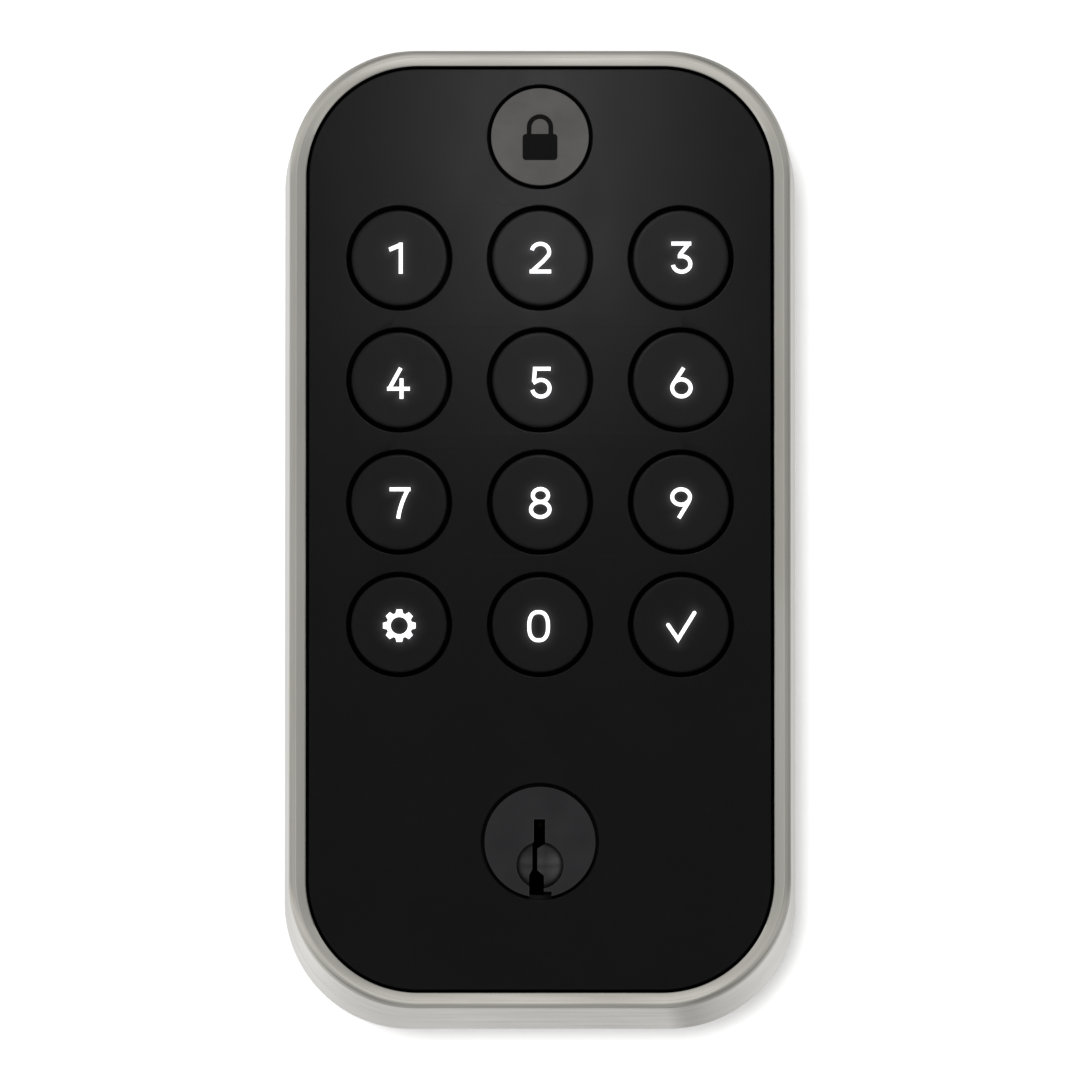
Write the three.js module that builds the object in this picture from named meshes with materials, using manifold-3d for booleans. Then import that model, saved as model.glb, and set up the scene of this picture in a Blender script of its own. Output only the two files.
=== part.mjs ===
// Outside unit of a keypad smart lock, in millimetres.
// +X is right and +Z is up as seen from the front. The front faces -Y.
// The door's outer face is the plane Y = 0, and the origin is the middle of the unit's back.
import * as THREE from 'three';
import { mergeVertices } from 'three/addons/utils/BufferGeometryUtils.js';
import Module from 'manifold-3d';

const wasm = await Module();
wasm.setup();

// ---------------------------------------------------------------- driving dimensions

const GAP = 0.3; // clearance between a piece and the neighbour it rests on

// Housing: a drafted die-cast ring, open at the front and at the back
const BACK_HALF_WIDTH = 33.0;
const BACK_HALF_HEIGHT = 62.65;
const BACK_CORNER = 17.4;
const DRAFT = 0.72;
const DEPTH = 22.5;
const BEVEL = 0.6;
const OPENING_HALF_WIDTH = 30.13;
const OPENING_HALF_HEIGHT = 59.95;
const OPENING_CORNER = 14.5;
const CAVITY_HALF_WIDTH = 30.5;
const CAVITY_HALF_HEIGHT = 60.15;
const CAVITY_CORNER = 15.0;
const LEDGE_FRONT = -12.9;
const LEDGE_BACK = -10.9;
const LEDGE_HALF_WIDTH = 28.45;
const LEDGE_TOP = 58.25;
const LEDGE_CORNER = 12.8;
const BRIDGE_TOP = -22.4; // below this height the ledge closes into a bridge

// Fascia: a flat plate with a skirt
const REVEAL = 0.38;
const FASCIA_FRONT = -22.1;
const FASCIA_BACK = -20.1;
const SKIRT_THICKNESS = 1.3;
const SKIRT_BACK = -14.3;
const HOLE_RADIUS = 6.83;
const PLUG_HOLE_RADIUS = 7.7;
const HOOK_HEIGHT = 6.0;
const HOOK_THICKNESS = 1.0;
const HOOK_ROWS = [30.0, -6.0];
const HOOK_COLUMNS = [-9.0, 9.0];

// Keys
const KEY_ROWS = [35.05, 19.25, 3.43, -12.4];
const KEY_COLUMNS = [-18.13, 0, 18.13];
const KEY_NAMES = [
  ['key_1', 'key_2', 'key_3'],
  ['key_4', 'key_5', 'key_6'],
  ['key_7', 'key_8', 'key_9'],
  ['key_settings', 'key_0', 'key_enter'],
];
const BUTTON_HEIGHT = 50.75;
const KEY_RADIUS = 6.16;
const KEY_FRONT = -22.4;
const BUTTON_RADIUS = 6.29;
const DISC_THICKNESS = 0.7;
const FLANGE_RADIUS = 7.3;
const FLANGE_FRONT = -19.8;
const FLANGE_BACK = -18.8;
const STEM_RADIUS = 3.0;
const STEM_BACK = -17.6;

// Membrane and circuit board
const DOME_FRONT = -17.3;
const DOME_TIP_RADIUS = 3.1;
const DOME_BASE_RADIUS = 4.3;
const WEB_FRONT = -15.3;
const WEB_BACK = -14.3;
const BOARD_FRONT = -14.0;
const BOARD_BACK = -12.4;
const BOARD_HALF_WIDTH = 26.6;
const BOARD_TOP = 57.0;
const BOARD_BOTTOM = -21.4;
const BOARD_CORNER = 11.0;
const BOARD_SCREWS = [[-9.07, 27.15], [9.07, 27.15], [-9.07, -4.48], [9.07, -4.48]];
const BOSS_RADIUS = 2.3;

// Small screws, all of one pattern
const SHANK_RADIUS = 1.2;
const PILOT_RADIUS = 1.35;
const PASS_RADIUS = 1.6;
const HEAD_RADIUS = 2.5;
const HEAD_THICKNESS = 1.2;

// Rear cover, gasket and grommet
const COVER_HALF_WIDTH = 30.2;
const COVER_HALF_HEIGHT = 59.85;
const COVER_CORNER = 14.7;
const PAD_HALF_WIDTH = 27.7;
const PAD_HALF_HEIGHT = 57.35;
const PAD_CORNER = 12.2;
const COVER_FRONT = -3.0;
const COVER_FLANGE_BACK = -1.9;
const COUNTERBORE_RADIUS = 2.9;
const COUNTERBORE_FLOOR = -1.6;
const CORNER_SCREW_X = 20.8;
const CORNER_SCREW_Z = 50.45;
const CORNER_POST_RADIUS = 3.2;
const CORNER_POST_BACK = -3.3;
const GUSSET_THICKNESS = 2.4;
const GROMMET_HEIGHT = -17.2;
const GROMMET_HOLE_RADIUS = 3.6;
const GROMMET_NECK_RADIUS = 4.7;
const GROMMET_FLANGE_RADIUS = 6.3;

// Key cylinder
const AXIS_HEIGHT = -40.44;
const SHELL_RADIUS = 8.6;
const SHELL_CLEARANCE = 1.2; // round the shell where it passes the bridge and the rear cover
const SHELL_FRONT = -19.8;
const SHELL_BACK = 8.2;
const BORE_RADIUS = 6.6;
const COUNTERBORE_FACE_RADIUS = 7.45;
const FACE_SEAT = -18.6;
const BIBLE_HALF_WIDTH = 4.5;
const BIBLE_RISE = 15.0;
const EAR_REACH = 13.0;
const EAR_RADIUS = 3.4;
const EAR_THICKNESS = 2.2;
const PLUG_FRONT = -21.7;
const PLUG_FACE_RADIUS = 7.18;
const PLUG_FACE_BACK = -18.8;
const PLUG_RADIUS = 6.35;
const NECK_RADIUS = 5.0;
const NECK_BACK = 10.4;
const GROOVE_RADIUS = 4.0;
const GROOVE_FRONT = 8.7;
const GROOVE_BACK = 9.6;
const CLIP_THICKNESS = 0.7;
const CLIP_RADIUS = 7.6;
const CHAMBER_RADIUS = 1.55;
const PIN_RADIUS = 1.45;
const PIN_PLACES = [-13.7, -9.5, -5.3, -1.1, 3.1];
const KEY_PIN_LENGTHS = [4.6, 5.2, 4.0, 4.9, 4.3];
const KEY_PIN_TOP = 6.15;
const CHAMBER_FLOOR = -0.95;
const DRIVER_BOTTOM = 6.55;
const DRIVER_LENGTH = 3.6;
const SPRING_BOTTOM = 10.3;
const SPRING_TOP = 14.9;
const SPRING_RADIUS = 1.4;
const SPRING_BORE = 0.9;
const KEYWAY_BACK = 4.8;
const DIMPLE_RADIUS = 3.1;
const DIMPLE_DEPTH = 1.2;
const DIMPLE_DROP = 3.2;

// Tailpiece, its pin, and the posts for the through bolts
const BLADE_HALF_WIDTH = 3.7;
const BLADE_HALF_THICKNESS = 0.8;
const BLADE_FRONT = 5.4;
const BLADE_BACK = 62.0;
const BLADE_POCKET_FRONT = 5.1;
const NOTCH_PITCH = 6.0;
const NOTCH_DEPTH = 0.45;
const CROSS_PIN_PLACE = 7.0;
const CROSS_PIN_RADIUS = 0.75;
const POST_REACH = 20.65;
const POST_RADIUS = 3.4;
const POST_BACK = 8.6;
const POST_THREAD_RADIUS = 1.9;
const POST_STUD_RADIUS = 1.7;
const POST_STUD_HOLE = 1.95;
const FASCIA_SCREW_X = 12.0;
const FASCIA_SCREW_Z = -54.4;

// Facets of round features
const FINE = 32;
const MEDIUM = 16;
const COARSE = 12;
const HOLE_FACETS = 20;
const BORE_FACETS = 40;

const BEYOND = 0.5; // how far a cutting tool runs past the face it opens

// ---------------------------------------------------------------- solids

/** A closed geometry as a solid, with its faces turned outwards. */
function toSolid(geometry) {
  const bare = geometry.index ? geometry.toNonIndexed() : geometry.clone();
  bare.deleteAttribute('normal');
  bare.deleteAttribute('uv');
  const merged = mergeVertices(bare, 1e-4);
  const points = merged.getAttribute('position').array;
  const faces = fullTriangles(merged.index.array);
  if (signedVolume(points, faces) < 0) {
    faces.forEach((face) => face.reverse());
  }
  return new wasm.Manifold(new wasm.Mesh({
    numProp: 3,
    vertProperties: Float32Array.from(points),
    triVerts: Uint32Array.from(faces.flat()),
  }));
}

/** The triangles of an index list that have three different corners. */
function fullTriangles(index) {
  const faces = [];
  for (let i = 0; i < index.length; i += 3) {
    const [a, b, c] = [index[i], index[i + 1], index[i + 2]];
    if (a !== b && b !== c && c !== a) {
      faces.push([a, b, c]);
    }
  }
  return faces;
}

function signedVolume(points, faces) {
  const corner = (i) => new THREE.Vector3().fromArray(points, 3 * i);
  let volume = 0;
  for (const [a, b, c] of faces) {
    volume += corner(a).dot(corner(b).cross(corner(c))) / 6;
  }
  return volume;
}

function toGeometry(solid) {
  const mesh = solid.getMesh();
  const geometry = new THREE.BufferGeometry();
  geometry.setAttribute('position', new THREE.BufferAttribute(mesh.vertProperties, 3));
  geometry.setIndex(new THREE.BufferAttribute(mesh.triVerts, 1));
  geometry.computeVertexNormals();
  return geometry;
}

const join = (first, ...others) => others.reduce((whole, piece) => whole.add(piece), first);
const cut = (first, ...tools) => tools.reduce((whole, tool) => whole.subtract(tool), first);

/** Points of an arc about (x, z), ends included. */
function arc(x, z, radius, from, to, steps) {
  const points = [];
  for (let i = 0; i <= steps; i += 1) {
    const angle = from + ((to - from) * i) / steps;
    points.push(new THREE.Vector2(x + radius * Math.cos(angle), z + radius * Math.sin(angle)));
  }
  return points;
}

/** Outline with round corners, symmetric about X = 0, anticlockwise. */
function roundedOutline(halfWidth, bottom, top, lowRadius, highRadius = lowRadius, steps = 6) {
  const quarter = Math.PI / 2;
  const low = halfWidth - lowRadius;
  const high = halfWidth - highRadius;
  return [
    ...arc(low, bottom + lowRadius, lowRadius, -quarter, 0, steps),
    ...arc(high, top - highRadius, highRadius, 0, quarter, steps),
    ...arc(-high, top - highRadius, highRadius, quarter, 2 * quarter, steps),
    ...arc(-low, bottom + lowRadius, lowRadius, 2 * quarter, 3 * quarter, steps),
  ];
}

const oval = (halfWidth, halfHeight, radius) => roundedOutline(halfWidth, -halfHeight, halfHeight, radius);

/** A plate whose outline lies in XZ, from its back face forward to its front face. */
function plate(outline, back, front) {
  const geometry = new THREE.ExtrudeGeometry(new THREE.Shape(outline), {
    depth: back - front,
    bevelEnabled: false,
  });
  return toSolid(geometry.rotateX(Math.PI / 2).translate(0, back, 0));
}

/** A solid turned about an axis along Y through (x, z); the profile lists [radius, y]. */
function turned(profile, x, z, facets) {
  const points = profile.map(([radius, y]) => new THREE.Vector2(radius, y));
  return toSolid(new THREE.LatheGeometry(points, facets).translate(x, 0, z));
}

/** A solid turned about an upright axis through (x, y); the profile lists [radius, z]. */
function upright(profile, x, y, facets) {
  const points = profile.map(([radius, z]) => new THREE.Vector2(radius, z));
  return toSolid(new THREE.LatheGeometry(points, facets).rotateX(Math.PI / 2).translate(x, y, 0));
}

function disc(radius, back, front, x, z, facets) {
  return turned([[0, front], [radius, front], [radius, back], [0, back]], x, z, facets);
}

function rod(radius, bottom, top, x, y, facets) {
  return upright([[0, bottom], [radius, bottom], [radius, top], [0, top]], x, y, facets);
}

function block(x0, x1, y0, y1, z0, z1) {
  const geometry = new THREE.BoxGeometry(x1 - x0, y1 - y0, z1 - z0);
  return toSolid(geometry.translate((x0 + x1) / 2, (y0 + y1) / 2, (z0 + z1) / 2));
}

/** A convex solid through outlines of equal point count, each at its own depth. */
function loft(sections) {
  const count = sections[0].outline.length;
  const at = (level, i) => {
    const { outline, y } = sections[level];
    const point = outline[i % count];
    return [point.x, y, point.y];
  };
  const corners = [];
  for (let level = 0; level + 1 < sections.length; level += 1) {
    for (let i = 0; i < count; i += 1) {
      corners.push(at(level, i), at(level, i + 1), at(level + 1, i));
      corners.push(at(level + 1, i), at(level, i + 1), at(level + 1, i + 1));
    }
  }
  const last = sections.length - 1;
  for (let i = 1; i + 1 < count; i += 1) {
    corners.push(at(0, 0), at(0, i + 1), at(0, i));
    corners.push(at(last, 0), at(last, i), at(last, i + 1));
  }
  const geometry = new THREE.BufferGeometry();
  geometry.setAttribute('position', new THREE.Float32BufferAttribute(corners.flat(), 3));
  return toSolid(geometry);
}

/** A pan-head screw whose head rests at headSeat and whose shank points to the front. */
function screw(headSeat, tip, x, z) {
  const headBack = headSeat + HEAD_THICKNESS;
  const profile = [
    [0, tip],
    [SHANK_RADIUS, tip],
    [SHANK_RADIUS, headSeat],
    [HEAD_RADIUS, headSeat],
    [HEAD_RADIUS, headBack - 0.4],
    [HEAD_RADIUS - 0.5, headBack],
    [0, headBack],
  ];
  return turned(profile, x, z, COARSE);
}

// ---------------------------------------------------------------- the assembly

const group = new THREE.Group();
group.name = 'keypad_smart_lock';

function finish(color, roughness, metalness) {
  return { color, roughness, metalness };
}

const SATIN_NICKEL = finish(0xb9b6b0, 0.34, 1.0);
const BLACK_PLASTIC = finish(0x17171a, 0.5, 0.0);
const GREY_DISC = finish(0x555350, 0.4, 0.8);
const DARK_NICKEL = finish(0x4a4a4c, 0.4, 1.0);
const STEEL = finish(0x9a9a9a, 0.35, 1.0);
const BRASS = finish(0xb5904c, 0.35, 1.0);
const ZINC = finish(0x8d8f92, 0.45, 1.0);
const SILICONE = finish(0xb8bcc0, 0.6, 0.0);
const RUBBER = finish(0x1c1c1c, 0.8, 0.0);
const BOARD_GREEN = finish(0x1d5a36, 0.45, 0.0);
const WHITE_PLASTIC = finish(0xe0ddd2, 0.5, 0.0);

function addPiece(name, solid, look) {
  const mesh = new THREE.Mesh(toGeometry(solid), new THREE.MeshStandardMaterial(look));
  mesh.name = name;
  group.add(mesh);
}

// ---------------------------------------------------------------- housing

const frontOutline = (inset) => oval(
  BACK_HALF_WIDTH - DRAFT - inset,
  BACK_HALF_HEIGHT - DRAFT - inset,
  BACK_CORNER - DRAFT - inset,
);

function housingBlank() {
  return loft([
    { outline: oval(BACK_HALF_WIDTH, BACK_HALF_HEIGHT, BACK_CORNER), y: 0 },
    { outline: frontOutline(0), y: BEVEL - DEPTH },
    { outline: frontOutline(BEVEL * 0.35), y: BEVEL * 0.3 - DEPTH },
    { outline: frontOutline(BEVEL), y: -DEPTH },
  ]);
}

/** The keyhole-shaped outline of the cylinder shell, grown by a clearance. */
function cylinderOutline(clearance) {
  const radius = SHELL_RADIUS + clearance;
  const half = BIBLE_HALF_WIDTH + clearance;
  const meet = Math.asin(half / radius);
  const start = Math.PI / 2 + meet;
  const round = arc(0, AXIS_HEIGHT, radius, start, start + 2 * (Math.PI - meet), FINE - 4);
  const top = AXIS_HEIGHT + BIBLE_RISE + clearance;
  return [...round, new THREE.Vector2(half, top), new THREE.Vector2(-half, top)];
}

/** A boss in a corner of the cavity for a rear-cover screw, with a rib out to the wall. */
function cornerPost(sideX, sideZ) {
  const x = sideX * CORNER_SCREW_X;
  const z = sideZ * CORNER_SCREW_Z;
  const reach = CAVITY_CORNER - 6.5;
  const rib = new THREE.BoxGeometry(reach, CORNER_POST_BACK - LEDGE_BACK + GAP, GUSSET_THICKNESS);
  rib.translate(reach / 2, (CORNER_POST_BACK + LEDGE_BACK - GAP) / 2, 0);
  rib.rotateY(-Math.atan2(sideZ, sideX));
  rib.translate(x, 0, z);
  const post = disc(CORNER_POST_RADIUS, CORNER_POST_BACK, LEDGE_BACK - GAP, x, z, MEDIUM);
  return join(post, toSolid(rib));
}

const CORNERS = [[1, 1], [-1, 1], [-1, -1], [1, -1]];

function makeHousing() {
  const front = plate(
    oval(OPENING_HALF_WIDTH, OPENING_HALF_HEIGHT, OPENING_CORNER), LEDGE_FRONT, -DEPTH - BEYOND);
  const window = plate(
    roundedOutline(LEDGE_HALF_WIDTH, BRIDGE_TOP, LEDGE_TOP, 3, LEDGE_CORNER),
    LEDGE_BACK + BEYOND, LEDGE_FRONT - BEYOND);
  const back = plate(
    oval(CAVITY_HALF_WIDTH, CAVITY_HALF_HEIGHT, CAVITY_CORNER), BEYOND, LEDGE_BACK);
  const posts = CORNERS.map(([sideX, sideZ]) => cornerPost(sideX, sideZ));
  const screwHoles = CORNERS.map(([sideX, sideZ]) => disc(
    PILOT_RADIUS, BEYOND, LEDGE_BACK + 0.6, sideX * CORNER_SCREW_X, sideZ * CORNER_SCREW_Z, COARSE));
  const seat = plate(cylinderOutline(SHELL_CLEARANCE), LEDGE_BACK + BEYOND, LEDGE_FRONT - BEYOND);
  const bridgeHoles = [-1, 1].flatMap((side) => [
    bridgeHole(PILOT_RADIUS, side * EAR_REACH, AXIS_HEIGHT),
    bridgeHole(POST_STUD_HOLE, side * POST_REACH, AXIS_HEIGHT),
    bridgeHole(PASS_RADIUS, side * FASCIA_SCREW_X, FASCIA_SCREW_Z),
  ]);
  const ring = cut(housingBlank(), front, window, back);
  return cut(join(ring, ...posts), ...screwHoles, seat, ...bridgeHoles);
}

function bridgeHole(radius, x, z) {
  return disc(radius, LEDGE_BACK + BEYOND, LEDGE_FRONT - BEYOND, x, z, COARSE);
}

// ---------------------------------------------------------------- fascia

const FASCIA_HALF_WIDTH = OPENING_HALF_WIDTH - REVEAL;
const FASCIA_HALF_HEIGHT = OPENING_HALF_HEIGHT - REVEAL;
const FASCIA_CORNER = OPENING_CORNER - REVEAL;

function fasciaOutline(inset) {
  return oval(FASCIA_HALF_WIDTH - inset, FASCIA_HALF_HEIGHT - inset, FASCIA_CORNER - inset);
}

/** A moulded hook on the right-hand skirt, at a height; its barb grips behind the ledge. */
function sideHook(z) {
  const outer = LEDGE_HALF_WIDTH - GAP;
  const inner = outer - HOOK_THICKNESS;
  const barbFront = LEDGE_BACK + GAP;
  const low = z - HOOK_HEIGHT / 2;
  const high = z + HOOK_HEIGHT / 2;
  return join(
    block(inner, FASCIA_HALF_WIDTH - 1, SKIRT_BACK - 3, SKIRT_BACK, low, high),
    block(inner, outer, SKIRT_BACK - 1, barbFront + 0.8, low, high),
    block(inner, outer + 1, barbFront, barbFront + 0.8, low, high),
  );
}

/** The same hook on the top of the skirt, at a place along X. */
function topHook(x) {
  const outer = LEDGE_TOP - GAP;
  const inner = outer - 0.7;
  const barbFront = LEDGE_BACK + GAP;
  const left = x - HOOK_HEIGHT / 2;
  const right = x + HOOK_HEIGHT / 2;
  return join(
    block(left, right, SKIRT_BACK - 3, SKIRT_BACK, inner, FASCIA_HALF_HEIGHT - 1),
    block(left, right, SKIRT_BACK - 1, barbFront + 0.8, inner, outer),
    block(left, right, barbFront, barbFront + 0.8, inner, outer + 1),
  );
}

function makeFascia() {
  const blank = plate(fasciaOutline(0), SKIRT_BACK, FASCIA_FRONT);
  const hollow = plate(fasciaOutline(SKIRT_THICKNESS), SKIRT_BACK + BEYOND, FASCIA_BACK);
  const hooks = [
    ...HOOK_ROWS.flatMap((z) => [sideHook(z), sideHook(z).mirror([1, 0, 0])]),
    ...HOOK_COLUMNS.map(topHook),
  ];
  const bosses = BOARD_SCREWS.map(
    ([x, z]) => disc(BOSS_RADIUS, BOARD_FRONT - GAP, FASCIA_BACK - 0.2, x, z, COARSE));
  const feet = [-1, 1].map((side) => disc(
    BOSS_RADIUS + 0.5, LEDGE_FRONT - GAP, FASCIA_BACK - 0.2, side * FASCIA_SCREW_X, FASCIA_SCREW_Z, COARSE));
  const pilots = BOARD_SCREWS.map(
    ([x, z]) => disc(PILOT_RADIUS, BOARD_FRONT + BEYOND, FASCIA_BACK + 0.4, x, z, COARSE));
  const footPilots = [-1, 1].map((side) => disc(
    PILOT_RADIUS, LEDGE_FRONT, FASCIA_BACK + 0.4, side * FASCIA_SCREW_X, FASCIA_SCREW_Z, COARSE));
  const shell = cut(blank, hollow);
  return cut(join(shell, ...hooks, ...bosses, ...feet), ...fasciaHoles(), ...pilots, ...footPilots);
}

function fasciaHoles() {
  const back = FASCIA_BACK + BEYOND;
  const front = FASCIA_FRONT - BEYOND;
  const keyHoles = KEY_ROWS.flatMap(
    (z) => KEY_COLUMNS.map((x) => disc(HOLE_RADIUS, back, front, x, z, HOLE_FACETS)));
  return [
    ...keyHoles,
    disc(HOLE_RADIUS, back, front, 0, BUTTON_HEIGHT, HOLE_FACETS),
    disc(PLUG_HOLE_RADIUS, back, front, 0, AXIS_HEIGHT, FINE),
  ];
}

/** The rubber ring between the skirt and the ledge. */
function makeFasciaSeal() {
  const front = SKIRT_BACK + GAP;
  const back = LEDGE_FRONT - GAP;
  return cut(
    plate(fasciaOutline(0.1), back, front),
    plate(fasciaOutline(1.25), back + BEYOND, front - BEYOND),
  );
}

// ---------------------------------------------------------------- keys

function keyBody(radius, front, x, z) {
  const profile = [
    [0, front],
    [radius, front],
    [radius, FLANGE_FRONT],
    [FLANGE_RADIUS, FLANGE_FRONT],
    [FLANGE_RADIUS, FLANGE_BACK],
    [STEM_RADIUS, FLANGE_BACK],
    [STEM_RADIUS, STEM_BACK],
    [0, STEM_BACK],
  ];
  return turned(profile, x, z, MEDIUM);
}

function addKeys() {
  KEY_NAMES.forEach((names, row) => {
    names.forEach((name, column) => {
      addPiece(name, keyBody(KEY_RADIUS, KEY_FRONT, KEY_COLUMNS[column], KEY_ROWS[row]), BLACK_PLASTIC);
    });
  });
  const discBack = KEY_FRONT + DISC_THICKNESS;
  addPiece('lock_button', keyBody(BUTTON_RADIUS, discBack + 0.1, 0, BUTTON_HEIGHT), BLACK_PLASTIC);
  const discShape = disc(BUTTON_RADIUS - 0.04, discBack, KEY_FRONT, 0, BUTTON_HEIGHT, MEDIUM);
  addPiece('lock_button_disc', discShape, GREY_DISC);
}

// ---------------------------------------------------------------- membrane and board

function sheetOutline(inset) {
  return roundedOutline(
    BOARD_HALF_WIDTH - inset, BOARD_BOTTOM + inset, BOARD_TOP - inset, 2, BOARD_CORNER - inset);
}

function dome(x, z) {
  const profile = [
    [0, DOME_FRONT],
    [DOME_TIP_RADIUS, DOME_FRONT],
    [DOME_BASE_RADIUS, WEB_FRONT + 0.1],
    [0, WEB_FRONT + 0.1],
  ];
  return turned(profile, x, z, COARSE);
}

function makeMembrane() {
  const domes = KEY_ROWS.flatMap((z) => KEY_COLUMNS.map((x) => dome(x, z)));
  const holes = BOARD_SCREWS.map(
    ([x, z]) => disc(BOSS_RADIUS + GAP, WEB_BACK + BEYOND, WEB_FRONT - BEYOND, x, z, COARSE));
  const web = plate(sheetOutline(0.4), WEB_BACK, WEB_FRONT);
  return cut(join(web, ...domes, dome(0, BUTTON_HEIGHT)), ...holes);
}

function makeBoard() {
  const holes = BOARD_SCREWS.map(
    ([x, z]) => disc(PASS_RADIUS, BOARD_BACK + BEYOND, BOARD_FRONT - BEYOND, x, z, COARSE));
  return cut(plate(sheetOutline(0), BOARD_BACK, BOARD_FRONT), ...holes);
}

/** A cable socket with an open mouth that faces down. */
function makeHarnessSocket() {
  const front = BOARD_BACK + 0.2;
  const body = block(-7, 7, front, front + 5.2, -17.6, -10.2);
  const mouth = block(-6.1, 6.1, front + 0.9, front + 4.4, -18, -12.4);
  return cut(body, mouth);
}

function addElectronics() {
  const front = BOARD_BACK + 0.2;
  addPiece('keypad_membrane', makeMembrane(), SILICONE);
  addPiece('circuit_board', makeBoard(), BOARD_GREEN);
  addPiece('radio_module', block(-17, 1, front, front + 2.6, 31, 46), STEEL);
  addPiece('buzzer', disc(6.2, front + 4.2, front, 13.5, 43.5, MEDIUM), BLACK_PLASTIC);
  addPiece('harness_socket', makeHarnessSocket(), WHITE_PLASTIC);
  BOARD_SCREWS.forEach(([x, z], i) => {
    addPiece(`board_screw_${i + 1}`, screw(BOARD_BACK + 0.1, BOARD_FRONT - 4.6, x, z), STEEL);
  });
}

// ---------------------------------------------------------------- rear cover

function makeRearCover() {
  const flange = plate(
    oval(COVER_HALF_WIDTH, COVER_HALF_HEIGHT, COVER_CORNER), COVER_FLANGE_BACK, COVER_FRONT);
  const pad = plate(oval(PAD_HALF_WIDTH, PAD_HALF_HEIGHT, PAD_CORNER), 0, COVER_FRONT);
  const pocket = plate(oval(25.6, 55.2, 20), -1.9, COVER_FRONT - BEYOND);
  const screwHoles = CORNERS.flatMap(([sideX, sideZ]) => {
    const x = sideX * CORNER_SCREW_X;
    const z = sideZ * CORNER_SCREW_Z;
    return [
      disc(PASS_RADIUS, BEYOND, COVER_FRONT - BEYOND, x, z, COARSE),
      disc(COUNTERBORE_RADIUS, BEYOND, COUNTERBORE_FLOOR, x, z, MEDIUM),
    ];
  });
  const postHoles = [-1, 1].map((side) => disc(
    POST_RADIUS + 0.5, BEYOND, COVER_FRONT - BEYOND, side * POST_REACH, AXIS_HEIGHT, MEDIUM));
  const cableHole = disc(
    GROMMET_NECK_RADIUS + 0.2, BEYOND, COVER_FRONT - BEYOND, 0, GROMMET_HEIGHT, MEDIUM);
  const passage = plate(cylinderOutline(SHELL_CLEARANCE), BEYOND, COVER_FRONT - BEYOND);
  return cut(join(flange, pad), pocket, ...screwHoles, ...postHoles, cableHole, passage);
}

function makeDoorGasket() {
  const front = COVER_FLANGE_BACK + 0.1;
  return cut(
    plate(oval(COVER_HALF_WIDTH, COVER_HALF_HEIGHT, COVER_CORNER), 0, front),
    plate(oval(PAD_HALF_WIDTH + 0.25, PAD_HALF_HEIGHT + 0.25, PAD_CORNER + 0.25), BEYOND, front - BEYOND),
  );
}

/** The rubber cable guide: a neck in the cover's hole and a flange inside the cover. */
function makeGrommet() {
  const profile = [
    [GROMMET_HOLE_RADIUS, 0],
    [GROMMET_NECK_RADIUS, 0],
    [GROMMET_NECK_RADIUS, -2.1],
    [GROMMET_FLANGE_RADIUS, -2.1],
    [GROMMET_FLANGE_RADIUS, -3.4],
    [GROMMET_HOLE_RADIUS, -3.4],
    [GROMMET_HOLE_RADIUS, 0],
  ];
  return turned(profile, 0, GROMMET_HEIGHT, MEDIUM);
}

function addRear() {
  addPiece('rear_cover', makeRearCover(), ZINC);
  addPiece('door_gasket', makeDoorGasket(), RUBBER);
  addPiece('cable_grommet', makeGrommet(), RUBBER);
  CORNERS.forEach(([sideX, sideZ], i) => {
    const solid = screw(COUNTERBORE_FLOOR + 0.1, -9.6, sideX * CORNER_SCREW_X, sideZ * CORNER_SCREW_Z);
    addPiece(`rear_screw_${i + 1}`, solid, STEEL);
  });
}

// ---------------------------------------------------------------- key cylinder

const chamber = (y, bottom, top) => rod(
  CHAMBER_RADIUS, AXIS_HEIGHT + bottom, AXIS_HEIGHT + top, 0, y, MEDIUM);

function makeShell() {
  const barrel = plate(cylinderOutline(0), SHELL_BACK, SHELL_FRONT);
  const earFront = LEDGE_BACK + GAP;
  const earBack = earFront + EAR_THICKNESS;
  const ears = [-1, 1].map(
    (side) => disc(EAR_RADIUS, earBack, earFront, side * EAR_REACH, AXIS_HEIGHT, MEDIUM));
  const bar = block(
    -EAR_REACH, EAR_REACH, earFront, earBack, AXIS_HEIGHT - EAR_RADIUS, AXIS_HEIGHT + EAR_RADIUS);
  const earHoles = [-1, 1].map((side) => disc(
    PASS_RADIUS, earBack + BEYOND, earFront - BEYOND, side * EAR_REACH, AXIS_HEIGHT, COARSE));
  const bore = disc(BORE_RADIUS, SHELL_BACK + BEYOND, SHELL_FRONT, 0, AXIS_HEIGHT, BORE_FACETS);
  const face = disc(
    COUNTERBORE_FACE_RADIUS, FACE_SEAT, SHELL_FRONT - BEYOND, 0, AXIS_HEIGHT, FINE);
  const chambers = PIN_PLACES.map((y) => chamber(y, 4, BIBLE_RISE + BEYOND));
  return cut(join(barrel, bar, ...ears), ...earHoles, bore, face, ...chambers);
}

/** The paracentric keyway, as an outline about the cylinder's axis. */
function keywayOutline() {
  const steps = [
    [0.70, 2.85],
    [-0.78, 2.85],
    [-0.78, 0.1],
    [-1.05, -0.3],
    [-1.05, -2.7],
    [-1.30, -3.0],
    [-1.30, -8.0],
    [0.45, -8.0],
    [0.45, -3.0],
    [-0.10, -2.5],
    [-0.10, -0.5],
    [0.70, 0.1],
  ];
  return steps.map(([x, z]) => new THREE.Vector2(x, AXIS_HEIGHT + z));
}

/** The spherical lead-in round the keyway's lower half. */
function dimple() {
  const radius = (DIMPLE_RADIUS ** 2 + DIMPLE_DEPTH ** 2) / (2 * DIMPLE_DEPTH);
  const ball = new THREE.SphereGeometry(radius, 24, 12);
  return toSolid(ball.translate(0, PLUG_FRONT + DIMPLE_DEPTH - radius, AXIS_HEIGHT - DIMPLE_DROP));
}

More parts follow.
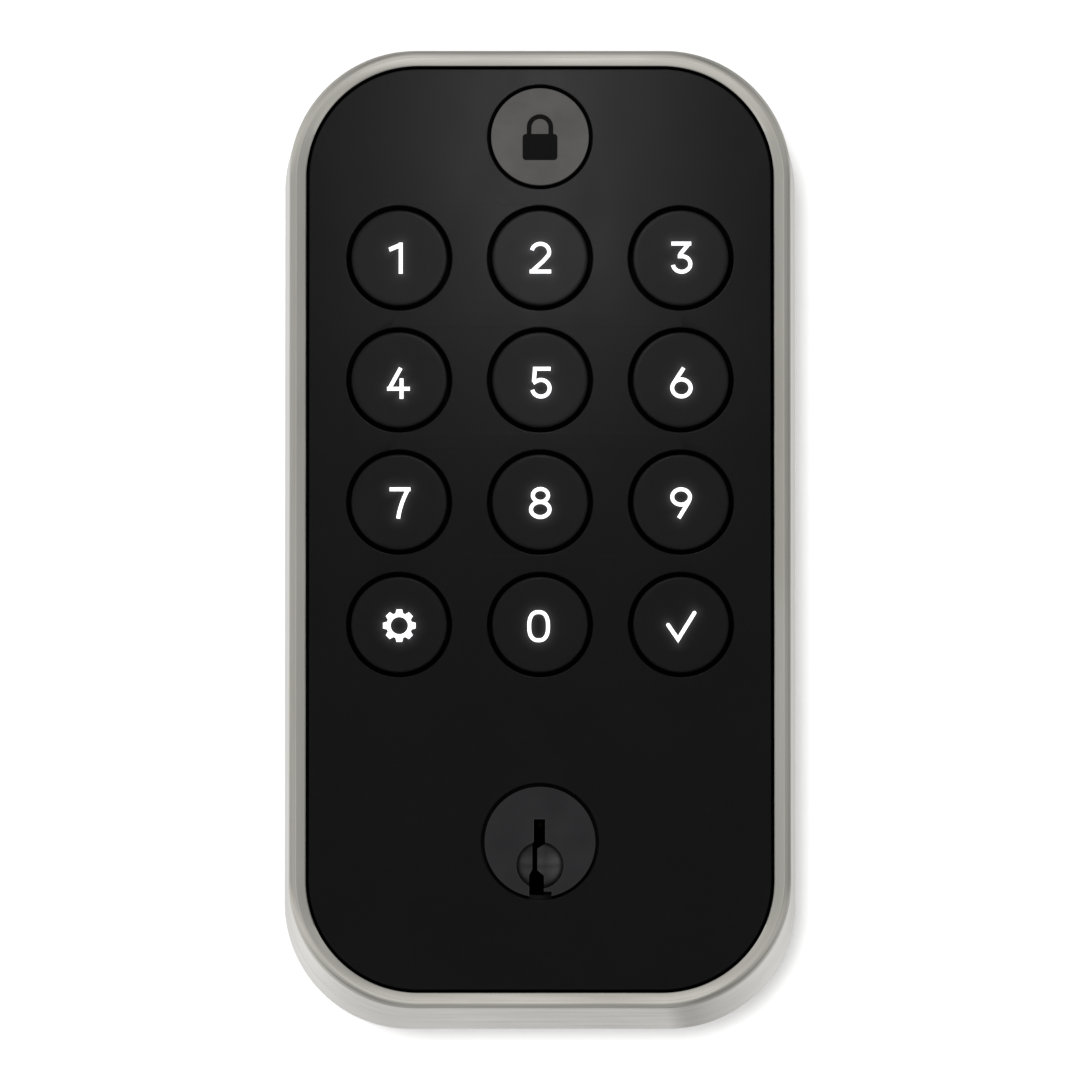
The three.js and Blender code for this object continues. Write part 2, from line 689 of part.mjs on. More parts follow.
function makePlug() {
  const profile = [
    [0, PLUG_FRONT],
    [PLUG_FACE_RADIUS - 0.2, PLUG_FRONT],
    [PLUG_FACE_RADIUS, PLUG_FRONT + 0.2],
    [PLUG_FACE_RADIUS, PLUG_FACE_BACK],
    [PLUG_RADIUS, PLUG_FACE_BACK],
    [PLUG_RADIUS, SHELL_BACK],
    [NECK_RADIUS, SHELL_BACK],
    [NECK_RADIUS, GROOVE_FRONT],
    [GROOVE_RADIUS, GROOVE_FRONT],
    [GROOVE_RADIUS, GROOVE_BACK],
    [NECK_RADIUS, GROOVE_BACK],
    [NECK_RADIUS, NECK_BACK],
    [0, NECK_BACK],
  ];
  const keyway = plate(keywayOutline(), KEYWAY_BACK, PLUG_FRONT - BEYOND);
  const pocket = block(
    -BLADE_HALF_WIDTH - 0.2, BLADE_HALF_WIDTH + 0.2, BLADE_POCKET_FRONT, NECK_BACK + BEYOND,
    AXIS_HEIGHT - BLADE_HALF_THICKNESS - 0.2, AXIS_HEIGHT + BLADE_HALF_THICKNESS + 0.2);
  const pinHole = rod(
    CROSS_PIN_RADIUS + 0.12, AXIS_HEIGHT - 8, AXIS_HEIGHT + 8, 0, CROSS_PIN_PLACE, COARSE);
  const chambers = PIN_PLACES.map((y) => chamber(y, CHAMBER_FLOOR, 8));
  return cut(turned(profile, 0, AXIS_HEIGHT, FINE), keyway, pocket, pinHole, dimple(), ...chambers);
}

/** An open ring that snaps into the plug's groove behind the shell. */
function makeClip() {
  const open = Math.PI / 5;
  const start = -Math.PI / 2 + open;
  const end = (3 * Math.PI) / 2 - open;
  const outline = [
    ...arc(0, AXIS_HEIGHT, CLIP_RADIUS, start, end, 20),
    ...arc(0, AXIS_HEIGHT, GROOVE_RADIUS + 0.2, end, start, 20),
  ];
  const front = GROOVE_FRONT + 0.1;
  return plate(outline, front + CLIP_THICKNESS, front);
}

/** The flat blade that turns the bolt, with notches where it can be snapped to length. */
function makeTailpiece() {
  const edge = [];
  for (let y = BLADE_BACK - 8; y > NECK_BACK + 12; y -= NOTCH_PITCH) {
    edge.push([BLADE_HALF_WIDTH, y + NOTCH_DEPTH]);
    edge.push([BLADE_HALF_WIDTH - NOTCH_DEPTH, y]);
    edge.push([BLADE_HALF_WIDTH, y - NOTCH_DEPTH]);
  }
  const right = [
    [BLADE_HALF_WIDTH - 1, BLADE_BACK],
    [BLADE_HALF_WIDTH, BLADE_BACK - 1],
    ...edge,
    [BLADE_HALF_WIDTH, BLADE_FRONT],
  ];
  const left = right.map(([x, y]) => [-x, y]).reverse();
  const outline = [...right, ...left].map(([x, y]) => new THREE.Vector2(x, y));
  const geometry = new THREE.ExtrudeGeometry(new THREE.Shape(outline), {
    depth: 2 * BLADE_HALF_THICKNESS,
    bevelEnabled: false,
  });
  const blade = toSolid(geometry.translate(0, 0, AXIS_HEIGHT - BLADE_HALF_THICKNESS));
  const hole = rod(
    CROSS_PIN_RADIUS + 0.2, AXIS_HEIGHT - 2, AXIS_HEIGHT + 2, 0, CROSS_PIN_PLACE, COARSE);
  return cut(blade, hole);
}

function keyPin(index) {
  const top = AXIS_HEIGHT + KEY_PIN_TOP;
  const bottom = top - KEY_PIN_LENGTHS[index];
  const profile = [
    [0, bottom],
    [0.5, bottom],
    [PIN_RADIUS, bottom + 0.6],
    [PIN_RADIUS, top - 0.12],
    [PIN_RADIUS - 0.2, top],
    [0, top],
  ];
  return upright(profile, 0, PIN_PLACES[index], COARSE);
}

function driverPin(index) {
  const bottom = AXIS_HEIGHT + DRIVER_BOTTOM;
  const top = bottom + DRIVER_LENGTH;
  const profile = [
    [0, bottom],
    [PIN_RADIUS - 0.2, bottom],
    [PIN_RADIUS, bottom + 0.2],
    [PIN_RADIUS, top],
    [0, top],
  ];
  return upright(profile, 0, PIN_PLACES[index], COARSE);
}

function pinSpring(index) {
  const bottom = AXIS_HEIGHT + SPRING_BOTTOM;
  const top = AXIS_HEIGHT + SPRING_TOP;
  const profile = [
    [SPRING_BORE, bottom],
    [SPRING_RADIUS, bottom],
    [SPRING_RADIUS, top],
    [SPRING_BORE, top],
    [SPRING_BORE, bottom],
  ];
  return upright(profile, 0, PIN_PLACES[index], COARSE);
}

function addCylinder() {
  addPiece('cylinder_shell', makeShell(), ZINC);
  addPiece('cylinder_plug', makePlug(), DARK_NICKEL);
  addPiece('retaining_clip', makeClip(), STEEL);
  addPiece('tailpiece', makeTailpiece(), STEEL);
  addPiece(
    'tailpiece_pin',
    rod(CROSS_PIN_RADIUS, AXIS_HEIGHT - 5.9, AXIS_HEIGHT + 5.9, 0, CROSS_PIN_PLACE, COARSE),
    STEEL,
  );
  const coverBottom = AXIS_HEIGHT + BIBLE_RISE + 0.15;
  addPiece('pin_chamber_cover', block(-3.9, 3.9, -16.4, 5.8, coverBottom, coverBottom + 0.7), BRASS);
  PIN_PLACES.forEach((_, i) => {
    addPiece(`key_pin_${i + 1}`, keyPin(i), BRASS);
    addPiece(`driver_pin_${i + 1}`, driverPin(i), BRASS);
    addPiece(`pin_spring_${i + 1}`, pinSpring(i), STEEL);
  });
}

// ---------------------------------------------------------------- fixings

/** A threaded standoff: a stud in the bridge, a column, and a blind thread from the back. */
function makePost(x) {
  const seat = LEDGE_BACK + 0.2;
  const profile = [
    [0, LEDGE_FRONT + 0.2],
    [POST_STUD_RADIUS, LEDGE_FRONT + 0.2],
    [POST_STUD_RADIUS, seat],
    [POST_RADIUS, seat],
    [POST_RADIUS, POST_BACK],
    [POST_THREAD_RADIUS, POST_BACK],
    [POST_THREAD_RADIUS, POST_BACK - 13],
    [0, POST_BACK - 13],
  ];
  return turned(profile, x, AXIS_HEIGHT, MEDIUM);
}

function addFixings() {
  for (const [name, side] of [['left', -1], ['right', 1]]) {
    addPiece(`mounting_post_${name}`, makePost(side * POST_REACH), STEEL);
    const earBack = LEDGE_BACK + GAP + EAR_THICKNESS;
    const cylinderScrew = screw(earBack + 0.1, LEDGE_FRONT + 0.2, side * EAR_REACH, AXIS_HEIGHT);
    addPiece(`cylinder_screw_${name}`, cylinderScrew, STEEL);
    const fasciaScrew = screw(LEDGE_BACK + 0.1, -18.6, side * FASCIA_SCREW_X, FASCIA_SCREW_Z);
    addPiece(`fascia_screw_${name}`, fasciaScrew, STEEL);
  }
}

addPiece('housing', makeHousing(), SATIN_NICKEL);
addPiece('fascia', makeFascia(), BLACK_PLASTIC);
addPiece('fascia_seal', makeFasciaSeal(), RUBBER);
addKeys();
addElectronics();
addRear();
addCylinder();
addFixings();

export default group;
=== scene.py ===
import math

import bmesh
import bpy
from mathutils import Matrix, Vector
from mathutils.geometry import delaunay_2d_cdt


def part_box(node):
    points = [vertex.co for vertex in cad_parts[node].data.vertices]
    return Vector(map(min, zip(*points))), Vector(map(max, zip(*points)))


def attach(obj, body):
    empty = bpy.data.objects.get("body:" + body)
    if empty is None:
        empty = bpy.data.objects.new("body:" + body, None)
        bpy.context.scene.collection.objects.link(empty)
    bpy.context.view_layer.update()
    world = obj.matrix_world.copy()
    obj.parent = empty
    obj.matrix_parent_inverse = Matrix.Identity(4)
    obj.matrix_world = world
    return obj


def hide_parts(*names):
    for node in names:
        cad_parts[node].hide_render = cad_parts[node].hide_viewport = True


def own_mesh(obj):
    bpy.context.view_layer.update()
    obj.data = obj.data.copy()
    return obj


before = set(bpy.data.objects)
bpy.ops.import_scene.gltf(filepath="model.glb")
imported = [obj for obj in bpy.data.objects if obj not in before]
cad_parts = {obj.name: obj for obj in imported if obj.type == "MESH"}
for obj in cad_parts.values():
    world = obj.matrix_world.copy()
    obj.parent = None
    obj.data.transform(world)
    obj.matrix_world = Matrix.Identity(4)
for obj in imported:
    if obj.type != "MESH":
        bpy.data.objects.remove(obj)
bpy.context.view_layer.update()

MM = 0.001
UNIT = "lock_unit"       # the root body, which the door holds
PLUG = "plug"            # the body that turns in the cylinder


def low_of(node):
    """The lowest corner of a CAD node's box, in mm."""
    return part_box(node)[0] / MM


def high_of(node):
    """The highest corner of a CAD node's box, in mm."""
    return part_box(node)[1] / MM


def centre_of(node):
    return (low_of(node) + high_of(node)) / 2


def spot_of(node):
    """Where a CAD node's centre is seen from the front, as (x, z) in mm."""
    centre = centre_of(node)
    return centre.x, centre.z


def depths_of(node):
    """Where a CAD node starts and ends along Y, front first, in mm."""
    return low_of(node).y, high_of(node).y


def heights_of(node):
    """Where a CAD node starts and ends along Z, lowest first, in mm."""
    return low_of(node).z, high_of(node).z


def inset(sizes, by):
    """The half width, half height and corner radius of an outline drawn in all round."""
    return [size - by for size in sizes]


# ---------------------------------------------------------------- sizes, in mm

CORNERS = [(1, 1), (-1, 1), (-1, -1), (1, -1)]
SIDES = (-1, 1)

# The housing: front face towards -Y, door face at Y = 0. Outlines are (half width, half height, corner).
BACK_CORNER = 17.4
BACK = (high_of("housing").x, high_of("housing").z, BACK_CORNER)
FRONT = low_of("housing").y
WALL_CORNER = 16.3       # the wall is a little squarer than the lip
DRAFT = 0.72
LIP_CROWN = 1.3          # radius of the lip's rounded outer edge
LIP_CROWN_TURN = 48      # degrees that it turns before it meets the side wall
LIP_FALL = 0.17          # how far the lip slopes in towards the panel
LIP_CHAMFER = 0.14       # the fine chamfer on the lip's inner edge
REVEAL = 0.38            # the gap round the panel
LEDGE_OPENING = (28.45, 58.25, 12.8)
LEDGE_FRONT = -12.9
LEDGE_BACK = -10.9
BACK_OPENING = (30.5, 60.15, 15.0)
BRIDGE_TOP = -22.4
BRIDGE_CORNER = (15.3, -45.2, 14.1)    # x, z and radius of the corner under the bridge
NICKEL_REACH = 1.75     # how far in from the outline the nickel reaches; past it the inside has painted shade

# The front panel.
PANEL_CORNER = 14.12
PANEL = (high_of("fascia").x, high_of("fascia").z, PANEL_CORNER)
PANEL_FRONT = low_of("fascia").y
PANEL_THICKNESS = 2.0
SKIRT_BACK = -14.3
SKIRT_THICKNESS = 1.3
HOOK_HEIGHT = 6.0
HOLE_RADIUS = 6.77
BUTTON_HOLE_RADIUS = 6.73
PLUG_HOLE_RADIUS = 7.56
BOSS_FRONT = -20.5
PILOT_END = -19.7

# Keys and their membrane.
KEYS = [f"key_{mark}" for mark in (1, 2, 3, 4, 5, 6, 7, 8, 9, "settings", 0, "enter")]
BUTTONS = [*KEYS, "lock_button"]
KEY_RADIUS = 6.16
BUTTON_RADIUS = 6.33
FLANGE_RADIUS = 7.3
FLANGE_FRONT = -19.8
FLANGE_BACK = -18.8
STEM_RADIUS = 3.0
STEM_BACK = -17.6
KEY_RIM = 0.3
KEY_DISH = 0.09
LEGEND_REACH = 3.6       # the fine part of a key's face, which the legend's glow falls on
STROKE = 0.5
GLOW = 0.038             # light seeping out beside a legend, as a share of full light
GLOW_REACH = 0.4
DOME_FRONT = -17.3
WEB_FRONT = -15.3
WEB_BACK = -14.3
WEB_TOP_CORNER = 10.6
WEB_FOOT_CORNER = 2

# The key cylinder.
AXIS_Z = centre_of("tailpiece").z
SHELL_RADIUS = 8.6
SHELL_CLEARANCE = 1.2
SHELL_FRONT, SHELL_BACK = depths_of("cylinder_shell")
BORE_RADIUS = 6.6
FACE_BORE_RADIUS = 7.45
FACE_BORE_END = -18.6
BIBLE_HALF_WIDTH = 4.5
BIBLE_RISE = 15.0
EAR_REACH = 13.0
EAR_RADIUS = 3.4
PLUG_FRONT, PLUG_BACK = depths_of("cylinder_plug")
FACE_RADIUS = 7.21
FACE_BACK = -18.8
PLUG_RADIUS = 6.35
TAIL_RADIUS = 5.0
PIN_RADIUS = 1.45
CHAMBER_RADIUS = 1.55
PIN_PLACES = [centre_of(f"key_pin_{i}").y for i in range(1, 6)]
PIN_OFFSET = 0.001       # keeps a drilling's corners off the other solids' middle planes

# Posts, screws and their holes.
POST_RADIUS = 3.4
PILOT_RADIUS = 1.35
CLEARANCE_RADIUS = 1.6
SCREW_HEAD = 1.2
CORNER_POST = (20.8, 50.45)
CORNER_SPOTS = [(x * CORNER_POST[0], z * CORNER_POST[1]) for x, z in CORNERS]
EAR_SPOTS = [(side * EAR_REACH, AXIS_Z) for side in SIDES]
POST_SPOTS = [(side * (high_of("mounting_post_right").x - POST_RADIUS), AXIS_Z) for side in SIDES]
FOOT_SPOTS = [(side * 12.0, -54.4) for side in SIDES]
BOARD_SPOTS = [spot_of(f"board_screw_{i}") for i in range(1, 5)]

# The back plate.
COVER = (30.2, 59.85, 14.7)
COVER_PAD = (27.7, 57.35, 12.2)
COVER_POCKET = (25.6, 55.2, 20)
COVER_FLANGE_BACK = -1.9
GASKET_INNER = 2.25      # how far in from the back plate's outline the gasket reaches

SMOOTH_ANGLE = math.radians(35)
BEYOND = 0.5             # how far a cutting tool runs past the face that it opens


# ---------------------------------------------------------------- finishes, light and camera

LEGEND_LIGHT = 1.08
METAL_SHARE = 0.8        # plating and oxide scatter the rest of the light
CAST_SHARE = 0.6
WHITE = (1, 1, 1)
UNLIT = (0.001, 0.001, 0.001)

CAMERA_DISTANCE = 3.5    # metres; a long lens, so the sides hardly converge
CAMERA_DROP = math.radians(6.0)
SENSOR_WIDTH = 36
FRAME_WIDTH = 138.9      # mm across the picture at the front face
AIM_Z = -1.51

# The studio's light levels: upright is along Z, across is along X, each from -1 to 1.
FRONT_UPRIGHT = [(-1.0, 0.45), (-0.7, 0.46), (-0.46, 0.72), (-0.24, 1.0), (-0.1, 1.0), (0.06, 0.64),
                 (0.14, 0.64), (0.26, 0.84), (0.40, 0.90), (0.62, 0.70), (0.8, 0.51), (1.0, 0.37)]
FRONT_ACROSS = [(-1.0, 0.80), (-0.5, 0.80), (-0.29, 0.70), (-0.16, 0.92), (0.0, 1.0), (0.13, 0.90),
                (0.26, 0.57), (0.5, 0.64), (1.0, 0.50)]
BACK_UPRIGHT = [(-1.0, 0.5), (-0.2, 0.64), (-0.06, 1.0), (0.1, 0.86), (0.3, 0.90), (1.0, 0.6)]
BACK_ACROSS = [(-1.0, 0.9), (-0.2, 0.98), (0.0, 0.97), (0.05, 0.62), (0.13, 0.84), (0.25, 0.9), (1.0, 0.7)]
FRONT_TO_BACK = [(-0.25, 0.0), (0.25, 1.0)]

# The stage and the lamps, in metres.
WALL_HALF_WIDTH = 0.6
WALL_TOP = 0.7
WALL_PLACE = 0.0004
FLOOR_HALF_WIDTH = 3
FLOOR_PLACE = -0.45
BORE_SHADE_RADIUS = 0.013        # radius of the painted shade on the wall round the cylinder, which stands for a door's bore
STAGE_BRIGHTNESS = 0.8
WALL_GLOW = 0.2
FLOOR_GLOW = 0.3
PANEL_LIGHT_PLACE = (0.0, -0.092, 0.077)
PANEL_LIGHT_AIM = (0, -0.022, 0.073)
PANEL_LIGHT_SIZE = (0.012, 0.09)
PANEL_LIGHT_POWER = 0.055
SUN_WAY = (0.08, 1, -0.075)
SUN_POWER = 2.1
SUN_ANGLE = math.radians(8)


# ---------------------------------------------------------------- outlines

def bend(x, z, width, height, start, end, steps=24):
    """Points of an elliptical arc about (x, z), from one angle to another in degrees, ends included."""
    points = []
    for i in range(steps + 1):
        angle = math.radians(start + (end - start) * i / steps)
        points.append((x + width * math.cos(angle), z + height * math.sin(angle)))
    return points


def arc(x, z, radius, start, end, steps):
    return bend(x, z, radius, radius, start, end, steps)


def circle(x, z, radius, steps=96):
    return arc(x, z, radius, 0, 360, steps)[:-1]


def oval(sizes, steps=24):
    """A rectangle with round corners about the origin, from its half width, half height and corner."""
    half_width, half_height, corner = sizes
    x, z = half_width - corner, half_height - corner
    return [
        *arc(x, -z, corner, -90, 0, steps),
        *arc(x, z, corner, 0, 90, steps),
        *arc(-x, z, corner, 90, 180, steps),
        *arc(-x, -z, corner, 180, 270, steps),
    ]


def keyhole(clearance, steps=64):
    """The cylinder's section: a round barrel with the pin housing standing on it."""
    radius = SHELL_RADIUS + clearance
    half_width = BIBLE_HALF_WIDTH + clearance
    top = AXIS_Z + BIBLE_RISE + clearance
    lean = math.degrees(math.acos(half_width / radius))
    barrel = arc(0, AXIS_Z, radius, 180 - lean, 360 + lean, steps)
    return [*barrel, (half_width, top), (-half_width, top)]


# ---------------------------------------------------------------- mesh building, in mm

def placed(name, data):
    """A new object of the scene."""
    made = bpy.data.objects.new(name, data)
    bpy.context.scene.collection.objects.link(made)
    return made


def baked(holder):
    """An object's mesh with its modifiers or its curve's bevel made real."""
    depsgraph = bpy.context.evaluated_depsgraph_get()
    return bpy.data.meshes.new_from_object(holder.evaluated_get(depsgraph))


def mesh_from(verts, faces):
    mesh = bpy.data.meshes.new("part")
    mesh.from_pydata([tuple(v) for v in verts], [], faces)
    return mesh


def skin(rings):
    """Quads between rings of equal point count, with the last ring joined to the first."""
    count = len(rings[0])
    verts = [point for ring in rings for point in ring]
    faces = []
    for level in range(len(rings)):
        here = level * count
        there = (level + 1) % len(rings) * count
        for i in range(count):
            j = (i + 1) % count
            faces.append((here + i, here + j, there + j, there + i))
    return mesh_from(verts, faces)


def frame_ring(levels, steps=24):
    """A closed ring through round-cornered levels: (half width, half height, corner, y)."""
    return skin([[(x, y, z) for x, z in oval(sizes, steps)] for *sizes, y in levels])


def turned(profile, x=0.0, z=0.0, facets=96, upright=False, phase=0.0):
    """A body turned about an axis along Y through (x, z), or along Z through (x, y) if upright.
    The profile lists (radius, place); it starts and ends on the axis, or ends where it starts.
    Phase turns the facets, so that a tool's edges miss those of the body that it cuts."""
    loop = profile[0] == profile[-1]
    points = profile[:-1] if loop else profile
    verts, rings = [], []
    for radius, place in points:
        count = facets if radius > 0 else 1
        rings.append(range(len(verts), len(verts) + count))
        for i in range(count):
            angle = 2 * math.pi * i / facets + phase
            across = x + radius * math.cos(angle)
            along = z + radius * math.sin(angle)
            verts.append((across, along, place) if upright else (across, place, along))
    following = rings[1:] + rings[:1] if loop else rings[1:]
    faces = []
    for a, b in zip(rings, following):
        for i in range(facets):
            j = (i + 1) % facets
            corners = [a[i % len(a)], a[j % len(a)], b[j % len(b)], b[i % len(b)]]
            corners = list(dict.fromkeys(corners))
            if len(corners) > 2:
                faces.append(corners)
    return mesh_from(verts, faces)


def disc(radius, back, front, x, z, facets=48):
    return turned([(0, front), (radius, front), (radius, back), (0, back)], x, z, facets)


def discs(spots, radius, back, front, facets=48):
    return [disc(radius, back, front, x, z, facets) for x, z in spots]


def drill(radius, bottom, top, y, facets):
    """An upright drilling through the key cylinder, between two heights over its axis."""
    profile = [(0, AXIS_Z + top), (radius, AXIS_Z + top), (radius, AXIS_Z + bottom), (0, AXIS_Z + bottom)]
    return turned(profile, PIN_OFFSET, y, facets, upright=True, phase=0.07)


def block(x0, x1, y0, y1, z0, z1):
    verts = [(x, y, z) for x in (x0, x1) for y in (y0, y1) for z in (z0, z1)]
    faces = [(0, 1, 3, 2), (4, 6, 7, 5), (0, 4, 5, 1), (2, 3, 7, 6), (0, 2, 6, 4), (1, 5, 7, 3)]
    return mesh_from(verts, faces)


def plate(outlines, back, front, bevel=0.0, rounds=2):
    """A plate in XZ from closed outlines, the first outside and the others holes, with round edges."""
    curve = bpy.data.curves.new("plate", "CURVE")
    curve.dimensions = "2D"
    curve.fill_mode = "BOTH"
    curve.extrude = (back - front) / 2 - bevel
    curve.bevel_depth = bevel
    curve.bevel_resolution = rounds
    curve.offset = -bevel
    for outline in outlines:
        spline = curve.splines.new("POLY")
        spline.points.add(len(outline) - 1)
        for point, (x, z) in zip(spline.points, outline):
            point.co = (x, z, 0, 1)
        spline.use_cyclic_u = True
    holder = placed("plate", curve)
    mesh = baked(holder)
    bpy.data.objects.remove(holder)
    bpy.data.curves.remove(curve)
    stand = Matrix.Rotation(math.pi / 2, 4, "X")
    mesh.transform(Matrix.Translation((0, (back + front) / 2, 0)) @ stand)
    weld(mesh)
    return mesh


def weld(mesh):
    """Merges doubled vertices and turns every face outward."""
    work = bmesh.new()
    work.from_mesh(mesh)
    bmesh.ops.remove_doubles(work, verts=work.verts, dist=1e-4)
    bmesh.ops.recalc_face_normals(work, faces=work.faces)
    if work.calc_volume(signed=True) < 0:
        bmesh.ops.reverse_faces(work, faces=work.faces)
    work.to_mesh(mesh)
    work.free()


def gather(meshes):
    """Separate meshes as one mesh, without joining their solids."""
    work = bmesh.new()
    for mesh in meshes:
        weld(mesh)
        work.from_mesh(mesh)
    made = bpy.data.meshes.new("part")
    work.to_mesh(made)
    work.free()
    return made


def combine(mesh, others, operation):
    """A mesh joined with others ("UNION") or cut by them ("DIFFERENCE"), one after another."""
    body = placed("body", mesh)
    weld(mesh)
    for other in others:
        weld(other)
        tool = placed("tool", other)
        modifier = body.modifiers.new("combine", "BOOLEAN")
        modifier.operation = operation
        modifier.solver = "EXACT"
        modifier.object = tool
        made = baked(body)
        body.modifiers.clear()
        body.data = made
        bpy.data.objects.remove(tool)
    made = body.data
    bpy.data.objects.remove(body)
    return made


def join(mesh, *others):
    return combine(mesh, others, "UNION")


def cut(mesh, *tools):
    return combine(mesh, tools, "DIFFERENCE")


def finish_mesh(mesh, material):
    """Smooth shading that keeps the sharp edges, and the one material."""
    mesh.shade_smooth()
    mesh.set_sharp_from_angle(angle=SMOOTH_ANGLE)
    mesh.materials.clear()
    mesh.materials.append(material)


def piece(name, mesh, material, body, replaces=None):
    """A finished piece from a mesh in mm: scaled to metres, shaded, and placed on its body."""
    weld(mesh)
    mesh.transform(Matrix.Scale(MM, 4))
    mesh.name = name
    finish_mesh(mesh, material)
    made = placed(name, mesh)
    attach(made, body)
    if replaces:
        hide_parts(replaces)
    flats = made.modifiers.new("flats", "WEIGHTED_NORMAL")
    flats.keep_sharp = True
    flats.weight = 90
    return made


def keep(node, material, edge):
    """A CAD node that stays, with its material and edges rounded to that width."""
    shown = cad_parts[node]
    finish_mesh(shown.data, material)
    bevel = shown.modifiers.new("soft_edges", "BEVEL")
    bevel.width = edge * MM
    bevel.segments = 3
    bevel.limit_method = "ANGLE"
    bevel.harden_normals = True


def rod(radius, edge, start, end):
    """Profile points of a plain rod with chamfered ends."""
    return [(0, start), (radius - edge, start), (radius, start + edge),
            (radius, end - edge), (radius - edge, end), (0, end)]


def thread(radius, depth, pitch, start, end):
    """Profile points of a screw thread drawn as rings, from one place to another."""
    points = []
    turns = int(abs(end - start) / pitch)
    step = math.copysign(pitch, end - start)
    for i in range(turns):
        points.append((radius - depth, start + step * i))
        points.append((radius, start + step * (i + 0.5)))
    return points


# ---------------------------------------------------------------- procedural materials

class Graph:
    """A node tree under construction. Values are numbers, vectors, colours or outputs of nodes."""

    def __init__(self, tree):
        self.nodes = tree.nodes
        self.links = tree.links

    def feed(self, socket, value):
        """Links an output to an input, or sets the input."""
        if isinstance(value, bpy.types.NodeSocket):
            self.links.new(value, socket)
        else:
            socket.default_value = (*value, 1) if socket.type == "RGBA" else value

    def node(self, kind, inputs=(), **settings):
        """A shader node with its settings, and its inputs fed by name or by number."""
        node = self.nodes.new("ShaderNode" + kind)
        for key, value in settings.items():
            setattr(node, key, value)
        for key, value in dict(inputs).items():
            self.feed(node.inputs[key], value)
        return node

    def remap(self, value, low, high, start=0.3, end=0.7):
        """A value between start and end as one between low and high."""
        limits = {"From Min": start, "From Max": end, "To Min": low, "To Max": high}
        return self.node("MapRange", {"Value": value, **limits}).outputs["Result"]

    def math(self, operation, a, b):
        return self.node("Math", {0: a, 1: b}, operation=operation).outputs["Value"]

    def mix(self, factor, a, b, kind="MIX"):
        """Colour a where factor is 0 and b where it is 1; the node's sockets 6 and 7 are its colours."""
        node = self.node("Mix", data_type="RGBA", blend_type=kind)
        for socket, value in (("Factor", factor), (6, a), (7, b)):
            self.feed(node.inputs[socket], value)
        return node.outputs[2]

    def ramp(self, value, stops):
        """Grey levels that change smoothly between stops, each a (place from -1 to 1, level) pair."""
        node = self.node("ValToRGB", {"Fac": self.remap(value, 0, 1, -1, 1)})
        node.color_ramp.interpolation = "EASE"
        elements = node.color_ramp.elements
        while len(elements) < len(stops):
            elements.new(0.5)
        for element, (place, level) in zip(elements, stops):
            element.position = (place + 1) / 2
            element.color = (level, level, level, 1)
        return node.outputs["Color"]

    def choose(self, factor, first, second):
        """One shader where factor is 0 and another where it is 1."""
        return self.node("MixShader", {"Fac": factor, 1: first, 2: second}).outputs["Shader"]


class Look(Graph):
    """A material under construction: a Principled shader with inputs that nodes drive."""

    def __init__(self, name, **finish):
        self.material = bpy.data.materials.new(name)
        self.material.use_nodes = True
        super().__init__(self.material.node_tree)
        self.shader = self.nodes["Principled BSDF"]
        self.place = self.node("TexCoord").outputs["Object"]
        for key, value in finish.items():
            self.drive(key.replace("_", " "), value)

    def drive(self, name, value):
        self.feed(self.shader.inputs[name], value)

    def noise(self, size, detail=3.0, stretch=(1, 1, 1), shift=0.0):
        """Noise with features about size mm across, stretched along each axis; gives 0 to 1."""
        scale = [1 / s for s in stretch]
        mapping = self.node("Mapping", {"Vector": self.place, "Scale": scale, "Location": (shift,) * 3})
        inputs = {"Vector": mapping.outputs["Vector"], "Scale": 1 / (size * MM), "Detail": detail}
        return self.node("TexNoise", inputs).outputs["Fac"]

    def cells(self, size):
        """Distance inside cells about size mm across, for pebbled grain."""
        return self.node("TexVoronoi", {"Vector": self.place, "Scale": 1 / (size * MM)}).outputs["Distance"]

    def edges(self, radius):
        """1 on edges and rims, which handling rubs and where the nickel also gets a painted highlight; 0 on
        flats.
        """
        bevel = self.node("Bevel", {"Radius": radius * MM}, samples=4).outputs["Normal"]
        normal = self.node("NewGeometry").outputs["Normal"]
        turn = self.node("VectorMath", {0: bevel, 1: normal}, operation="DOT_PRODUCT").outputs["Value"]
        return self.remap(turn, 1.0, 0.0, 0.9, 0.995)

    def depth(self, start, end):
        """0 in front of one place along Y, in mm, and 1 behind another."""
        axes = self.node("SeparateXYZ", {"Vector": self.place})
        return self.remap(axes.outputs["Y"], 0.0, 1.0, start * MM, end * MM)

    def mottled(self, pattern, dark, light):
        """A colour that wanders between two as a noise does."""
        return self.mix(self.remap(pattern, 0, 1), dark, light)

    def brighter_edges(self, tone, radius, share, edge_tone):
        """A colour that turns partly to a brighter one along the edges: wear, and on the satin nickel also a
        painted highlight.
        """
        return self.mix(self.math("MULTIPLY", self.edges(radius), share), tone, edge_tone)

    def finish(self, colour, roughness, *bumps):
        """The material with its colour, its roughness and bumps, each a (height, depth in mm) pair."""
        self.drive("Base Color", colour)
        self.drive("Roughness", roughness)
        normal = None
        for height, depth in bumps:
            bump = self.node("Bump", {"Distance": depth * MM, "Height": height})
            if normal:
                self.feed(bump.inputs["Normal"], normal)
            normal = bump.outputs["Normal"]
        if normal:
            self.drive("Normal", normal)
        return self.material


